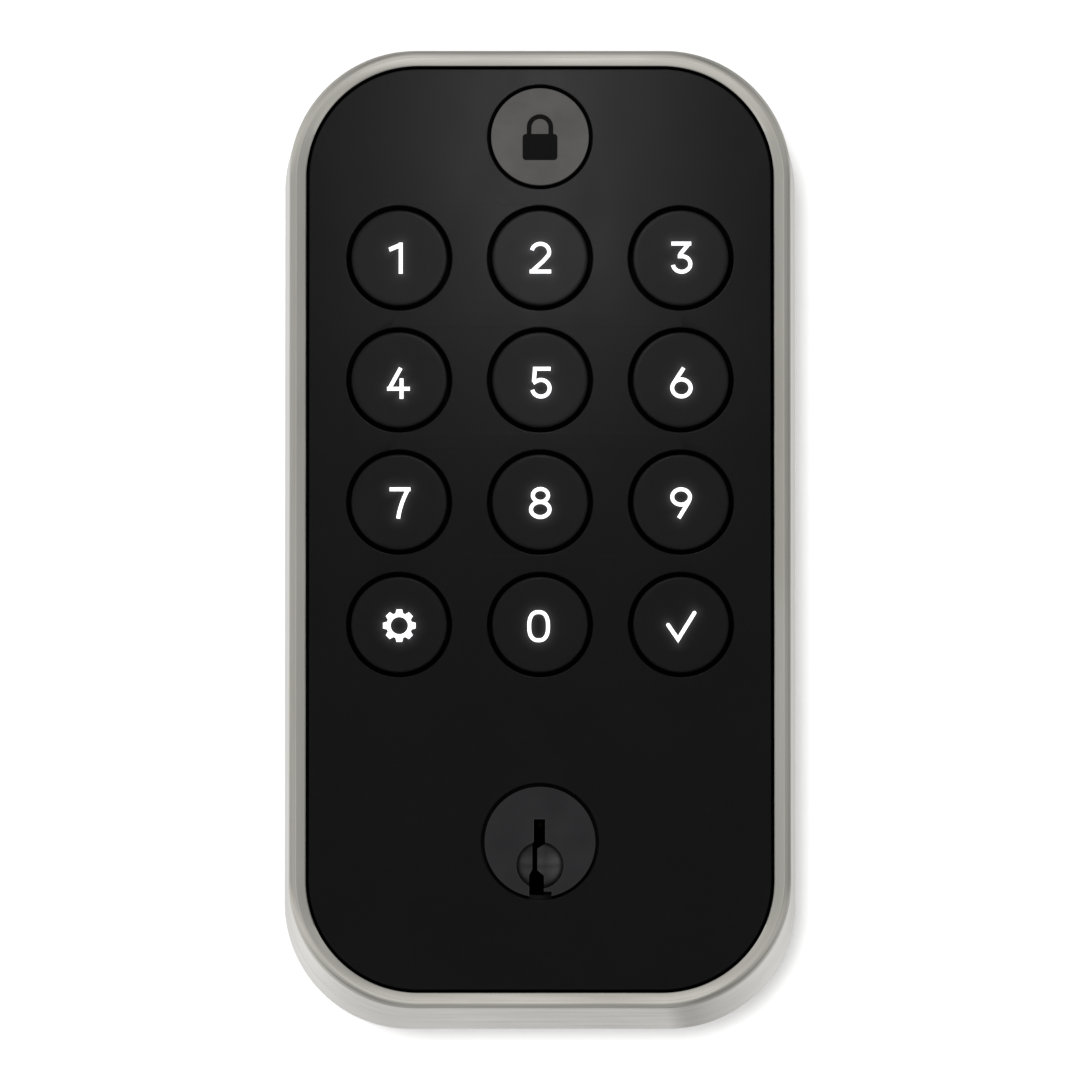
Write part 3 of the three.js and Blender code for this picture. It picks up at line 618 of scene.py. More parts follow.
def satin_nickel():
    """Nickel plate brushed round the casing, a little warm, brighter along its edges from wear and a painted
    highlight.
    """
    look = Look("satin_nickel", Metallic=1.0, Anisotropic=0.3)
    look.drive("Tangent", look.node("CombineXYZ", {"X": 0.03, "Y": 1.0, "Z": 0.02}).outputs["Vector"])
    brushing = look.noise(0.16, 4, stretch=(60, 1, 60))
    bands = look.noise(1.6, 3, stretch=(25, 1, 25), shift=0.3)
    clouds = look.noise(14, 2)
    grain = look.noise(0.2, 3)
    tone = look.mottled(bands, (0.61, 0.590, 0.535), (0.71, 0.690, 0.637))
    tone = look.mix(look.remap(brushing, 0.0, 0.35), tone, (0.51, 0.491, 0.445))
    # Edge wear, and a painted highlight that brightens the lip's edges
    tone = look.brighter_edges(tone, 0.3, 0.7, (0.85, 0.83, 0.78))
    worn = look.math("ADD", look.remap(brushing, 0.19, 0.25), look.remap(clouds, -0.02, 0.02))
    rough = look.math("ADD", worn, look.remap(grain, -0.015, 0.015))
    return look.finish(tone, rough, (brushing, 0.0006), (bands, 0.0015), (grain, 0.0008))


def moulded_black(name, grey, gloss, shine=0.09, glow=False):
    """Black plastic from a finely spark-eroded mould, faintly worn to a shine where it is touched,
    and painted near black and dead matt as shade where it goes down into a gap."""
    look = Look(name, Specular_IOR_Level=shine)
    grain = look.noise(0.11, 2)
    pebbles = look.cells(0.16)
    flow = look.noise(9, 3)
    smears = look.noise(5, 4, stretch=(1, 1, 2.2), shift=0.7)
    tone = look.mottled(flow, tuple(0.82 * c for c in grey), grey)
    tone = look.brighter_edges(tone, 0.1, 0.5, tuple(2.0 * c + 0.006 for c in grey))
    # Painted shade: near black and dead matt from a little behind the panel's front, for the gaps round the
    # keys; pieces wholly behind it, such as the buzzer, are near black all over
    deep = look.depth(PANEL_FRONT + 0.2, PANEL_FRONT + 1.2)
    tone = look.mix(deep, tone, (0.0008, 0.0008, 0.0008))
    rough = look.math("ADD", look.remap(smears, gloss - 0.03, gloss + 0.03), look.remap(grain, -0.02, 0.02))
    if glow:
        look.drive("Emission Strength", look.node("Attribute", attribute_name="glow").outputs["Fac"])
        look.drive("Emission Color", WHITE)
    return look.finish(tone, look.math("MAXIMUM", rough, deep), (pebbles, 0.004), (grain, 0.003))


def lit_legend():
    """A translucent white inlay lit from behind, a shade dimmer where its walls are thick."""
    look = Look("legend_light", Emission_Strength=LEGEND_LIGHT)
    white = look.mottled(look.noise(0.9, 2), (0.92, 0.94, 1.0), (1.0, 1.0, 1.0))
    look.drive("Emission Color", white)
    return look.finish(white, 0.35)


def satin_grey():
    """The button's disc: dark grey metal, brushed crosswise and sealed with a satin lacquer."""
    look = Look("grey_metal", Metallic=0.75, Coat_Weight=0.25, Coat_Roughness=0.35)
    brushing = look.noise(0.12, 3, stretch=(40, 1, 1))
    tone = look.mottled(look.noise(4, 3), (0.134, 0.130, 0.124), (0.162, 0.158, 0.152))
    tone = look.brighter_edges(tone, 0.1, 0.6, (0.26, 0.25, 0.24))
    return look.finish(tone, look.remap(brushing, 0.36, 0.48), (brushing, 0.002), (look.cells(0.15), 0.002))


def icon_ink():
    look = Look("icon_ink", Specular_IOR_Level=0.1)
    grain = look.noise(0.12, 2)
    return look.finish(look.mottled(grain, (0.004, 0.004, 0.004), (0.008, 0.008, 0.008)), 0.6, (grain, 0.003))


def metal(name, dark, light, rough, size, stretch=(1, 1, 1)):
    """Plated or rolled steel with tooling marks; size is the marks' width and stretch their run."""
    look = Look(name, Metallic=METAL_SHARE)
    marks = look.noise(size, 4, stretch=stretch)
    clouds = look.noise(5, 3, shift=0.4)
    edge_tone = tuple(min(1.0, 1.35 * c + 0.02) for c in light)
    tone = look.brighter_edges(look.mottled(clouds, dark, light), 0.2, 0.5, edge_tone)
    uneven = look.math("ADD", look.remap(marks, rough - 0.05, rough + 0.05), look.remap(clouds, -0.04, 0.04))
    return look.finish(tone, uneven, (marks, 0.004))


def black_nickel():
    """The plug's black nickel: satin on the face, brighter where the cutter sank the hollow, and
    painted near black as shade in the depths of the keyway."""
    look = Look("dark_nickel", Metallic=1.0)
    turning = look.noise(0.1, 3, stretch=(6, 1, 1))
    tone = look.mottled(look.noise(5, 3, shift=0.4), (0.036, 0.036, 0.038), (0.044, 0.044, 0.046))
    sunk = look.depth(PLUG_FRONT + 0.02, PLUG_FRONT + 0.12)
    tone = look.mix(sunk, tone, (0.075, 0.075, 0.078))
    tone = look.brighter_edges(tone, 0.15, 0.35, (0.16, 0.16, 0.165))
    # Painted shade: near black from past the keyway's mouth to before the tail
    past_mouth = look.depth(PLUG_FRONT + 1.0, PLUG_FRONT + 2.4)
    before_tail = look.depth(6.0, 5.0)
    tone = look.mix(look.math("MULTIPLY", past_mouth, before_tail), tone, (0.002, 0.002, 0.002))
    rough = look.math("SUBTRACT", look.remap(turning, 0.32, 0.40), look.math("MULTIPLY", sunk, 0.12))
    return look.finish(tone, rough, (turning, 0.002))


def pin_brass():
    """Turned brass, painted near black as shade on the first pins, which show down the keyway."""
    look = Look("turned_brass", Metallic=1.0)
    marks = look.noise(0.15, 4, stretch=(6, 6, 1))
    tone = look.mottled(look.noise(5, 3, shift=0.4), (0.56, 0.41, 0.17), (0.68, 0.52, 0.24))
    tone = look.brighter_edges(tone, 0.2, 0.5, (0.93, 0.72, 0.34))
    first = PIN_PLACES[0]
    # Painted shade: near black on the first pins and up to a little behind them
    tone = look.mix(look.depth(first + 2.5, first + 1.5), tone, (0.012, 0.009, 0.004))
    return look.finish(tone, look.remap(marks, 0.23, 0.33), (marks, 0.004))


def cast_zinc():
    """Die-cast zinc: a dull skin with a mottled flow pattern and fine pits. The end that faces out
    has painted shade, near black, so that it doesn't shine through the gap round the plug."""
    look = Look("cast_zinc", Metallic=CAST_SHARE)
    flow = look.noise(3.5, 5)
    tone = look.mottled(flow, (0.34, 0.34, 0.345), (0.47, 0.47, 0.465))
    tone = look.brighter_edges(tone, 0.25, 0.6, (0.66, 0.66, 0.65))
    # Painted shade: the end that faces out is near black
    tone = look.mix(look.depth(-17.0, -17.8), tone, (0.004, 0.004, 0.004))
    rough = look.remap(flow, 0.52, 0.40)
    return look.finish(tone, rough, (look.cells(0.5), 0.008), (look.noise(0.2, 3), 0.01))


def powder_coat():
    """Matt black powder coat with its orange-peel skin, worn to grey on the corners."""
    look = Look("rear_cover", IOR=1.5)
    peel = look.noise(0.55, 2)
    specks = look.noise(0.13, 2)
    tone = look.mottled(look.noise(16, 3), (0.020, 0.020, 0.021), (0.032, 0.032, 0.033))
    tone = look.mix(look.remap(specks, 0, 0.3, 0.6, 0.8), tone, (0.09, 0.09, 0.09))
    tone = look.brighter_edges(tone, 0.2, 0.4, (0.13, 0.13, 0.13))
    return look.finish(tone, look.remap(peel, 0.48, 0.62), (peel, 0.03), (specks, 0.008))


def rubber(name, dark, light, sheen=0.0, soft=0.0, grain_depth=0.01):
    look = Look(name, Sheen_Weight=sheen, Subsurface_Weight=soft, Subsurface_Radius=(MM, MM, MM))
    grain = look.noise(0.14, 3)
    bloom = look.noise(6, 4)
    bumps = (grain, grain_depth), (look.noise(1.5, 2), 0.02)
    return look.finish(look.mottled(bloom, dark, light), look.remap(bloom, 0.58, 0.74), *bumps)


def solder_mask():
    """A green circuit board: glossy mask over faint copper tracks, with the weave just showing."""
    look = Look("circuit_board", Coat_Weight=0.4, Coat_Roughness=0.2)
    turn = look.node("Mapping", {"Vector": look.place, "Rotation": (math.pi / 2, 0, 0)}).outputs["Vector"]
    bricks = look.node("TexBrick", {"Vector": turn, "Scale": 1 / (9 * MM), "Mortar Size": 0.025})
    tracks = bricks.outputs["Fac"]
    weave = look.noise(0.35, 2, stretch=(4, 1, 1))
    mask = look.mottled(weave, (0.010, 0.085, 0.030), (0.018, 0.125, 0.048))
    tone = look.mix(tracks, mask, (0.045, 0.22, 0.09))
    return look.finish(tone, look.remap(weave, 0.26, 0.36), (weave, 0.006), (tracks, 0.03))


def nylon():
    look = Look("white_plastic", IOR=1.5, Subsurface_Weight=0.15, Subsurface_Radius=(MM, MM, 0.8 * MM))
    grain = look.noise(0.2, 3)
    tone = look.mottled(look.noise(5, 2), (0.70, 0.67, 0.58), (0.80, 0.78, 0.70))
    return look.finish(tone, look.remap(grain, 0.38, 0.5), (grain, 0.006))


NICKEL = satin_nickel()
PANEL_BLACK = moulded_black("panel_black", (0.0046, 0.0046, 0.0048), 0.39)
KEY_BLACK = moulded_black("key_black", (0.0092, 0.0092, 0.0094), 0.40, shine=0.07, glow=True)
HOUSED_BLACK = moulded_black("housed_black", (0.012, 0.012, 0.012), 0.5)
LEGEND = lit_legend()
DISC_GREY = satin_grey()
INK = icon_ink()
BLACK_NICKEL = black_nickel()
PLATED_STEEL = metal("plated_steel", (0.46, 0.46, 0.455), (0.58, 0.58, 0.57), 0.3, 0.25)
ROLLED_STEEL = metal("rolled_steel", (0.44, 0.44, 0.43), (0.56, 0.56, 0.55), 0.34, 0.12, stretch=(1, 30, 1))
TURNED_BRASS = pin_brass()
ZINC = cast_zinc()
# Painted shade for the inside of the casing: near black, so that the gap round the panel stays dark
INSIDE_SHADE = rubber("painted_inside_shade", (0.004, 0.004, 0.004), (0.008, 0.008, 0.008))
POWDER_COAT = powder_coat()
RUBBER = rubber("black_rubber", (0.014, 0.014, 0.014), (0.026, 0.026, 0.025), sheen=0.15)
SILICONE = rubber("silicone", (0.48, 0.50, 0.51), (0.60, 0.62, 0.63), soft=0.3, grain_depth=0.004)
BOARD_GREEN = solder_mask()
NYLON = nylon()


# ---------------------------------------------------------------- housing and front panel

def corner_post(side_x, side_z):
    """A screw post in a corner of the housing, with the rib that ties it to the wall."""
    x, z = side_x * CORNER_POST[0], side_z * CORNER_POST[1]
    post_radius, rib_length, rib_half = 3.2, 8, 1.2
    root = LEDGE_BACK - 0.3
    along = Vector((side_x, 0, side_z)).normalized()
    across = Vector((-along.z, 0, along.x)) * rib_half
    base = Vector((x, 0, z))
    end = base + along * rib_length
    corners = [base - across, end - across, end + across, base + across]
    rib = plate([[(c.x, c.z) for c in corners]], -4.2, root)
    return [disc(post_radius, -3.3, root, x, z), rib]


def make_housing():
    """The nickel-plated casing: outer wall, rounded lip, panel seat, bridge and screw posts."""
    opening = inset(PANEL, -REVEAL)
    rear_edge = [(0.3, 0.0), (0.09, -0.09), (0.0, -0.3)]
    crown = arc(0, 0, LIP_CROWN, 90 - LIP_CROWN_TURN, 90, 8)
    reach, depth = crown[0]
    brow = FRONT + LIP_CROWN - depth
    crown = [(DRAFT + reach - x, FRONT + LIP_CROWN - y) for x, y in crown]
    crown[0] = (DRAFT + 0.07, brow - 0.035)
    wall = [*rear_edge, (DRAFT, brow + 0.09), (DRAFT + 0.02, brow + 0.03)]
    levels = [(*inset(BACK, by)[:2], WALL_CORNER, y) for by, y in wall]
    levels += [(*inset(BACK, by), y) for by, y in crown]
    levels += [
        (*inset(opening, -LIP_CHAMFER), FRONT + LIP_FALL),
        (*opening, FRONT + LIP_FALL + LIP_CHAMFER),
        (*opening, LEDGE_FRONT),
        (*LEDGE_OPENING, LEDGE_FRONT),
        (*LEDGE_OPENING, LEDGE_BACK),
        (*BACK_OPENING, LEDGE_BACK),
        (*BACK_OPENING, -0.2),
        (*inset(BACK_OPENING, -0.2), 0.0),
    ]
    x, z, radius = BRIDGE_CORNER
    bridge_outline = [(-x - radius, BRIDGE_TOP), *arc(-x, z, radius, 180, 270, 19),
                      *arc(x, z, radius, 270, 360, 19), (x + radius, BRIDGE_TOP)]
    drilled = ((EAR_SPOTS, PILOT_RADIUS), (POST_SPOTS, 1.95), (FOOT_SPOTS, CLEARANCE_RADIUS))
    holes = [circle(*spots[side], hole_radius, 24) for side in (0, 1) for spots, hole_radius in drilled]
    bridge = plate([bridge_outline, keyhole(SHELL_CLEARANCE), *holes], LEDGE_BACK - 0.01, LEDGE_FRONT + 0.01)
    body = join(frame_ring(levels, 32), bridge)
    for corner_sides in CORNERS:
        body = join(body, *corner_post(*corner_sides))
    return cut(body, gather(discs(CORNER_SPOTS, PILOT_RADIUS, BEYOND, LEDGE_BACK + 0.6, 24)))


def shade_inside_casing(housing):
    """Gives the faces inside the casing painted shade in place of the nickel: a near-black finish that keeps
    the gap round the panel dark.
    """
    housing.data.materials.append(INSIDE_SHADE)
    core_x, core_z = inset(BACK, BACK_CORNER)[:2]
    for face in housing.data.polygons:
        x, y, z = face.center / MM
        past_x, past_z = max(0.0, abs(x) - core_x), max(0.0, abs(z) - core_z)
        if math.hypot(past_x, past_z) < BACK_CORNER - NICKEL_REACH and FRONT + 0.45 < y < -0.05:
            face.material_index = 1


def hook(along, across, place):
    """A snap hook in the skirt: a leg past the ledge and a barb behind it. Along and across say
    which way it grips and runs; place is where it stands along its run."""
    edge = (28.15, 57.95)[along]
    inner = edge - (1.0, 0.7)[along]
    reach = PANEL[along] - 1
    back = LEDGE_BACK + 0.3
    low, high = place - HOOK_HEIGHT / 2, place + HOOK_HEIGHT / 2
    parts = []
    for outer, y0, y1 in (
        (reach, SKIRT_BACK - 3, SKIRT_BACK),
        (edge, SKIRT_BACK - 1, back + 0.8),
        (edge + 1, back, back + 0.8),
    ):
        grip = sorted((across * inner, across * outer))
        parts.append(block(low, high, y0, y1, *grip) if along else block(*grip, y0, y1, low, high))
    return parts


def make_panel():
    """The front panel: a flat face with fine round edges, a skirt, snap hooks and screw bosses."""
    holes = [circle(*spot_of(key), HOLE_RADIUS) for key in KEYS]
    holes.append(circle(*spot_of("lock_button"), BUTTON_HOLE_RADIUS))
    holes.append(circle(0, AXIS_Z, PLUG_HOLE_RADIUS, 120))
    face = plate([oval(PANEL, 32), *holes], PANEL_FRONT + PANEL_THICKNESS, PANEL_FRONT, bevel=0.16)
    inner = inset(PANEL, SKIRT_THICKNESS)
    front = PANEL_FRONT + 0.3
    skirt = frame_ring([(*PANEL, SKIRT_BACK), (*PANEL, front), (*inner, front), (*inner, SKIRT_BACK)], 32)
    body = join(face, skirt)
    hooks = [hook(0, side, z) for side in SIDES for z in (30.0, -6.0)]
    hooks += [hook(1, 1, x) for x in (-9.0, 9.0)]
    for parts in hooks:
        body = join(body, *parts)
    bosses = discs(BOARD_SPOTS, 2.3, SKIRT_BACK, BOSS_FRONT) + discs(FOOT_SPOTS, 2.8, -13.2, BOSS_FRONT)
    pilots = discs(BOARD_SPOTS, PILOT_RADIUS, SKIRT_BACK + 2, PILOT_END, 24)
    pilots += discs(FOOT_SPOTS, PILOT_RADIUS, -12, PILOT_END, 24)
    return cut(join(body, gather(bosses)), gather(pilots))


def make_seal():
    """The rubber ring that the panel's skirt presses on the ledge."""
    front, back = depths_of("fascia_seal")
    width, gap = 1.25, 0.1
    middle, half = (front + back) / 2, (back - front) / 2
    angles = [math.pi * (i / 8 - 0.5) for i in range(9)]
    section = [(gap + half * (1 - math.cos(a)), middle - half * math.sin(a)) for a in angles]
    section += [(width - x + gap, y) for x, y in reversed(section)]
    return frame_ring([(*inset(PANEL, x), y) for x, y in section])


# ---------------------------------------------------------------- keys and legends

def face_place(radius, front, outer):
    """Where the hollowed face of a key lies at a distance from its centre."""
    return front + KEY_DISH * max(0.0, 1 - (radius / outer) ** 2)


def key_profile(radius, front):
    """A key from its face round the rim and flange to the stem."""
    flat = radius - KEY_RIM
    fine = [LEGEND_REACH * i / 24 for i in range(25)]
    coarse = [LEGEND_REACH + (flat - LEGEND_REACH) * i / 7 for i in range(1, 8)]
    return [
        *[(r, face_place(r, front, flat)) for r in fine + coarse],
        *[(flat + x, front + KEY_RIM - y) for x, y in arc(0, 0, KEY_RIM, 90, 0, 6)][1:],
        (radius, FLANGE_FRONT - 0.15),
        (radius + 0.15, FLANGE_FRONT),
        (FLANGE_RADIUS - 0.15, FLANGE_FRONT),
        (FLANGE_RADIUS, FLANGE_FRONT + 0.15),
        (FLANGE_RADIUS, FLANGE_BACK - 0.15),
        (FLANGE_RADIUS - 0.15, FLANGE_BACK),
        (STEM_RADIUS + 0.2, FLANGE_BACK),
        (STEM_RADIUS, FLANGE_BACK + 0.2),
        (STEM_RADIUS, STEM_BACK - 0.2),
        (STEM_RADIUS - 0.2, STEM_BACK),
        (0, STEM_BACK),
    ]


def curve_through(a, b, c, steps=10):
    """A quadratic curve from a to c, pulled towards b."""
    points = []
    for i in range(steps + 1):
        t = i / steps
        points.append(tuple((1 - t) ** 2 * p + 2 * t * (1 - t) * q + t * t * r for p, q, r in zip(a, b, c)))
    return points


def ribbon(points, width=STROKE, closed=False):
    """A stroke of even width along points, as quads with mitred corners."""
    count = len(points)
    sides = []
    for i, (x, z) in enumerate(points):
        before = points[i - 1] if i or closed else points[0]
        after = points[(i + 1) % count] if i + 1 < count or closed else points[-1]
        ahead = (Vector(after) - Vector((x, z)))
        behind = (Vector((x, z)) - Vector(before))
        ahead = ahead.normalized() if ahead.length else behind.normalized()
        behind = behind.normalized() if behind.length else ahead
        normal = Vector((-(ahead.y + behind.y), ahead.x + behind.x)).normalized()
        across = Vector((-ahead.y, ahead.x))
        reach = width / 2 / max(0.35, normal.dot(across))
        sides.append(((x + normal.x * reach, z + normal.y * reach),
                      (x - normal.x * reach, z - normal.y * reach)))
    following = sides[1:] + (sides[:1] if closed else [])
    return [[a[0], a[1], b[1], b[0]] for a, b in zip(sides, following)]


def box_shape(x0, x1, z0, z1):
    return [[(x0, z0), (x1, z0), (x1, z1), (x0, z1)]]


def digit_shapes():
    """Each legend as polygons about its key's centre, in mm. The digits share one stroke width."""
    one = box_shape(-0.05, 0.45, -2.07, 1.96) + [[(0.2, 1.96), (-1.38, 1.30), (-1.20, 0.80), (0.2, 1.36)]]
    two = ribbon([*bend(0.06, 0.78, 1.12, 1.03, 168, -28, 24), (0.42, -0.42), (-1.04, -1.76)])
    two += box_shape(-1.34, 1.43, -2.03, -1.53)
    three = box_shape(-1.21, 1.34, 1.59, 2.09)
    three += ribbon([(1.07, 1.86), (-0.12, 0.42)])
    three += ribbon([(-0.38, 0.20), *bend(0.11, -0.80, 1.12, 1.01, 78, -172, 26)])
    four = ribbon([(0.20, 1.52), (-1.24, -1.13)]) + box_shape(-1.55, 1.38, -1.42, -0.92)
    four += box_shape(0.06, 0.56, -2.47, 0.17)
    five = box_shape(-0.90, 1.36, 1.17, 1.67) + ribbon([(-0.64, 1.45), (-0.79, -0.28)])
    five += ribbon([(-0.88, -0.42), *bend(0.12, -1.10, 1.12, 1.08, 128, -168, 26)])
    six = ribbon(bend(0.07, -1.06, 1.19, 1.10, 0, 360, 48)[:-1], closed=True)
    six += ribbon([(0.36, 1.54), (-0.70, -0.10), (-1.02, -0.60)])
    seven = box_shape(-1.22, 1.46, 1.39, 1.89)
    seven += ribbon(curve_through((1.19, 1.70), (0.15, -0.20), (-0.12, -2.14)))
    eight = ribbon(bend(0.06, 0.85, 0.98, 0.83, 0, 360, 40)[:-1], closed=True)
    eight += ribbon(bend(0.035, -0.975, 1.195, 0.975, 0, 360, 40)[:-1], closed=True)
    nine = ribbon(bend(0.02, 0.65, 1.14, 0.99, 0, 360, 48)[:-1], closed=True)
    nine += ribbon([(-0.28, -2.08), (0.84, -0.23), (1.11, 0.27)])
    zero = ribbon(superellipse(-0.18, -0.23, 1.21, 1.82, 2.5), closed=True)
    check = ribbon([(-1.65, -0.08), (-0.38, -1.93), (1.72, 1.48)])
    check += [circle(-1.65, -0.08, STROKE / 2, 24), circle(1.72, 1.48, STROKE / 2, 24)]
    gear = ribbon(circle(0.04, -0.16, 1.38, 64), 0.54, closed=True)
    for i in range(8):
        gear += tooth(0.04, -0.16, 1.55, 2.10, 0.50, 0.36, 45 * i)
    shapes = [one, two, three, four, five, six, seven, eight, nine, gear, zero, check]
    return dict(zip(KEYS, shapes))


def superellipse(x, z, width, height, power, steps=64):
    """A closed stroke between an oval and a stadium."""
    points = []
    for i in range(steps):
        c, s = math.cos(2 * math.pi * i / steps), math.sin(2 * math.pi * i / steps)
        points.append((x + width * math.copysign(abs(c) ** (2 / power), c),
                       z + height * math.copysign(abs(s) ** (2 / power), s)))
    return points


def tooth(x, z, inner, outer, root_half, tip_half, angle):
    """One tapered gear tooth that points along an angle in degrees."""
    c, s = math.cos(math.radians(angle)), math.sin(math.radians(angle))
    corners = [(inner, -root_half), (outer, -tip_half), (outer, tip_half), (inner, root_half)]
    return [[(x + r * c - t * s, z + r * s + t * c) for r, t in corners]]


def padlock():
    """A plain padlock: a body and a shackle."""
    body = [[(x, z - 1.35) for x, z in oval((2.25, 1.7, 0.45), 6)]]
    shackle = ribbon([(-1.4, 0.1), *bend(0, 1.2, 1.4, 1.4, 180, 0, 24), (1.4, 0.1)], 0.62)
    return body + shackle


def united(shapes):
    """Triangles that cover overlapping polygons once, with their corners."""
    corners, faces = [], []
    for shape in shapes:
        faces.append(list(range(len(corners), len(corners) + len(shape))))
        corners += [Vector(point) for point in shape]
    verts, _, triangles, _, _, owners = delaunay_2d_cdt(corners, [], faces, 0, 1e-5)
    return verts, [list(t) for t, owner in zip(triangles, owners) if owner]


def inlay(shapes, x, z, place, depth):
    """A closed inlay of that depth; place gives where its face lies at (x, z) from the centre."""
    verts, triangles = united(shapes)
    used = sorted({i for triangle in triangles for i in triangle})
    number = {old: new for new, old in enumerate(used)}
    front = [(x + verts[i].x, place(verts[i].x, verts[i].y), z + verts[i].y) for i in used]
    back = [(px, py + depth, pz) for px, py, pz in front]
    count = len(front)
    triangles = [[number[i] for i in triangle] for triangle in triangles]
    faces = triangles + [[i + count for i in reversed(triangle)] for triangle in triangles]
    borders = dict.fromkeys((a, b) for t in triangles for a, b in zip(t, t[1:] + t[:1]))
    faces += [[b, a, a + count, b + count] for a, b in borders if (b, a) not in borders]
    return mesh_from(front + back, faces)


def distance_to(shapes):
    """A function that gives the distance from a point to the nearest of the polygons' edges."""
    edges = [(Vector(a), Vector(b)) for shape in shapes for a, b in zip(shape, shape[1:] + shape[:1])]

    def distance(x, z):
        point = Vector((x, z))
        nearest = LEGEND_REACH
        for a, b in edges:
            run = b - a
            share = max(0.0, min(1.0, (point - a).dot(run) / max(run.length_squared, 1e-12)))
            nearest = min(nearest, (point - a - run * share).length)
        return nearest

    return distance


def add_glow(key, shapes, x, z):
    """Light that seeps out round a legend, kept on the key's mesh as a share of full light."""
    distance = distance_to(shapes)
    glow = key.data.attributes.new("glow", "FLOAT", "POINT")
    for i, vertex in enumerate(key.data.vertices):
        away_x, away_z = vertex.co.x / MM - x, vertex.co.z / MM - z
        if math.hypot(away_x, away_z) < LEGEND_REACH and vertex.co.y / MM < FLANGE_FRONT - 1:
            glow.data[i].value = GLOW * math.exp(-distance(away_x, away_z) / GLOW_REACH)


def add_keys():
    shapes = digit_shapes()
    front = low_of("key_1").y
    flat = KEY_RADIUS - KEY_RIM
    proud = 0.012

    def face(dx, dz):
        return face_place(math.hypot(dx, dz), front, flat) - proud

    for name in KEYS:
        x, z = spot_of(name)
        key = piece(f"{name}_cap", turned(key_profile(KEY_RADIUS, front), x, z), KEY_BLACK,
                    name, name)
        add_glow(key, shapes[name], x, z)
        piece(f"{name}_legend", inlay(shapes[name], x, z, face, 0.4), LEGEND, name)


def add_button():
    """The lock button: a black body with a satin grey disc that carries a plain padlock."""
    x, z = spot_of("lock_button")
    disc_front, disc_back = depths_of("lock_button_disc")
    profile = key_profile(BUTTON_RADIUS, low_of("lock_button").y)
    piece("lock_button_body", turned(profile, x, z), KEY_BLACK, "lock_button", "lock_button")
    radius, edge = BUTTON_RADIUS - 0.03, 0.1
    face = [
        (0, disc_front),
        *[(radius - edge + dx, disc_front + edge - dy) for dx, dy in arc(0, 0, edge, 90, 0, 4)],
        (radius, disc_back),
        (0, disc_back),
    ]
    piece("lock_button_face", turned(face, x, z, 128), DISC_GREY, "lock_button",
          "lock_button_disc")
    icon = inlay(padlock(), x, z, lambda dx, dz: disc_front - 0.001, 0.1)
    piece("lock_button_icon", icon, INK, "lock_button")


# ---------------------------------------------------------------- membrane and electronics

def add_membrane():
    """The silicone sheet under the keys, with a hollow dome under each that gives as it is pressed."""
    low, high = low_of("keypad_membrane"), high_of("keypad_membrane")
    upper_x, upper_z = high.x - WEB_TOP_CORNER, high.z - WEB_TOP_CORNER
    lower_x, lower_z = high.x - WEB_FOOT_CORNER, low.z + WEB_FOOT_CORNER
    outline = [
        *arc(lower_x, lower_z, WEB_FOOT_CORNER, -90, 0, 6),
        *arc(upper_x, upper_z, WEB_TOP_CORNER, 0, 90, 16),
        *arc(-upper_x, upper_z, WEB_TOP_CORNER, 90, 180, 16),
        *arc(-lower_x, lower_z, WEB_FOOT_CORNER, 180, 270, 6),
    ]
    holes = [circle(*spot, 2.6, 32) for spot in BOARD_SPOTS]
    holes += [circle(*spot_of(name), 3.4, 48) for name in BUTTONS]
    web = plate([outline, *holes], WEB_BACK, WEB_FRONT, bevel=0.1)
    piece("membrane_sheet", web, SILICONE, UNIT, "keypad_membrane")
    roof = 0.6
    profile = [(0, DOME_FRONT), (2.8, DOME_FRONT), (3.1, DOME_FRONT + 0.2), (4.2, WEB_FRONT - 0.12),
               (4.6, WEB_FRONT + 0.02), (4.6, WEB_FRONT + 0.3), (3.7, WEB_FRONT + 0.3),
               (2.7, DOME_FRONT + roof), (0, DOME_FRONT + roof)]
    for name in BUTTONS:
        x, z = spot_of(name)
        dome = piece(f"membrane_dome_{name}", turned(profile, x, z, 48), SILICONE, UNIT)
        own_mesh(dome)


def add_electronics():
    keep("circuit_board", BOARD_GREEN, 0.12)
    keep("radio_module", PLATED_STEEL, 0.2)
    keep("harness_socket", NYLON, 0.15)
    front, back = depths_of("buzzer")
    radius = (high_of("buzzer").x - low_of("buzzer").x) / 2
    vent = [(2.4, 0), (2.2, 0.25), (1.2, 0.25), (1.0, 0.4), (1.0, 1.6), (0, 1.6)]
    profile = [
        (0, front), (radius - 0.2, front), (radius, front + 0.2),
        *[(radius - 0.5 + dx, back - 0.5 + dy) for dx, dy in arc(0, 0, 0.5, 0, 90, 5)],
        *[(r, back - deep) for r, deep in vent],
    ]
    can = turned(profile, *spot_of("buzzer"), 64)
    piece("buzzer_can", can, HOUSED_BLACK, UNIT, "buzzer")
    add_chips()


def add_chips():
    """The soldered parts on the back of the board, clear of the module, buzzer, socket and screws."""
    back = high_of("circuit_board").y
    root = back - 0.01
    soft = placed("soft", gather([block(-6, 6, root, back + 1.2, 12, 22)]))
    soft.modifiers.new("edge", "BEVEL").width = 0.15
    chip = baked(soft)
    bpy.data.objects.remove(soft)
    piece("board_processor", chip, HOUSED_BLACK, UNIT)
    parts = []
    for i in range(12):
        leg = 12.8 + 0.75 * i
        parts += [block(*ends, root, back + 0.25, leg, leg + 0.35) for ends in ((-6.9, -6.0), (6.0, 6.9))]
    for row in range(3):
        for column in range(6):
            x, z = -20 + 2.4 * column, 2 - 2.6 * row
            parts.append(block(x, x + 1.6, root, back + 0.5, z, z + 0.8))
    piece("board_small_parts", gather(parts), PLATED_STEEL, UNIT)


# ---------------------------------------------------------------- fixings

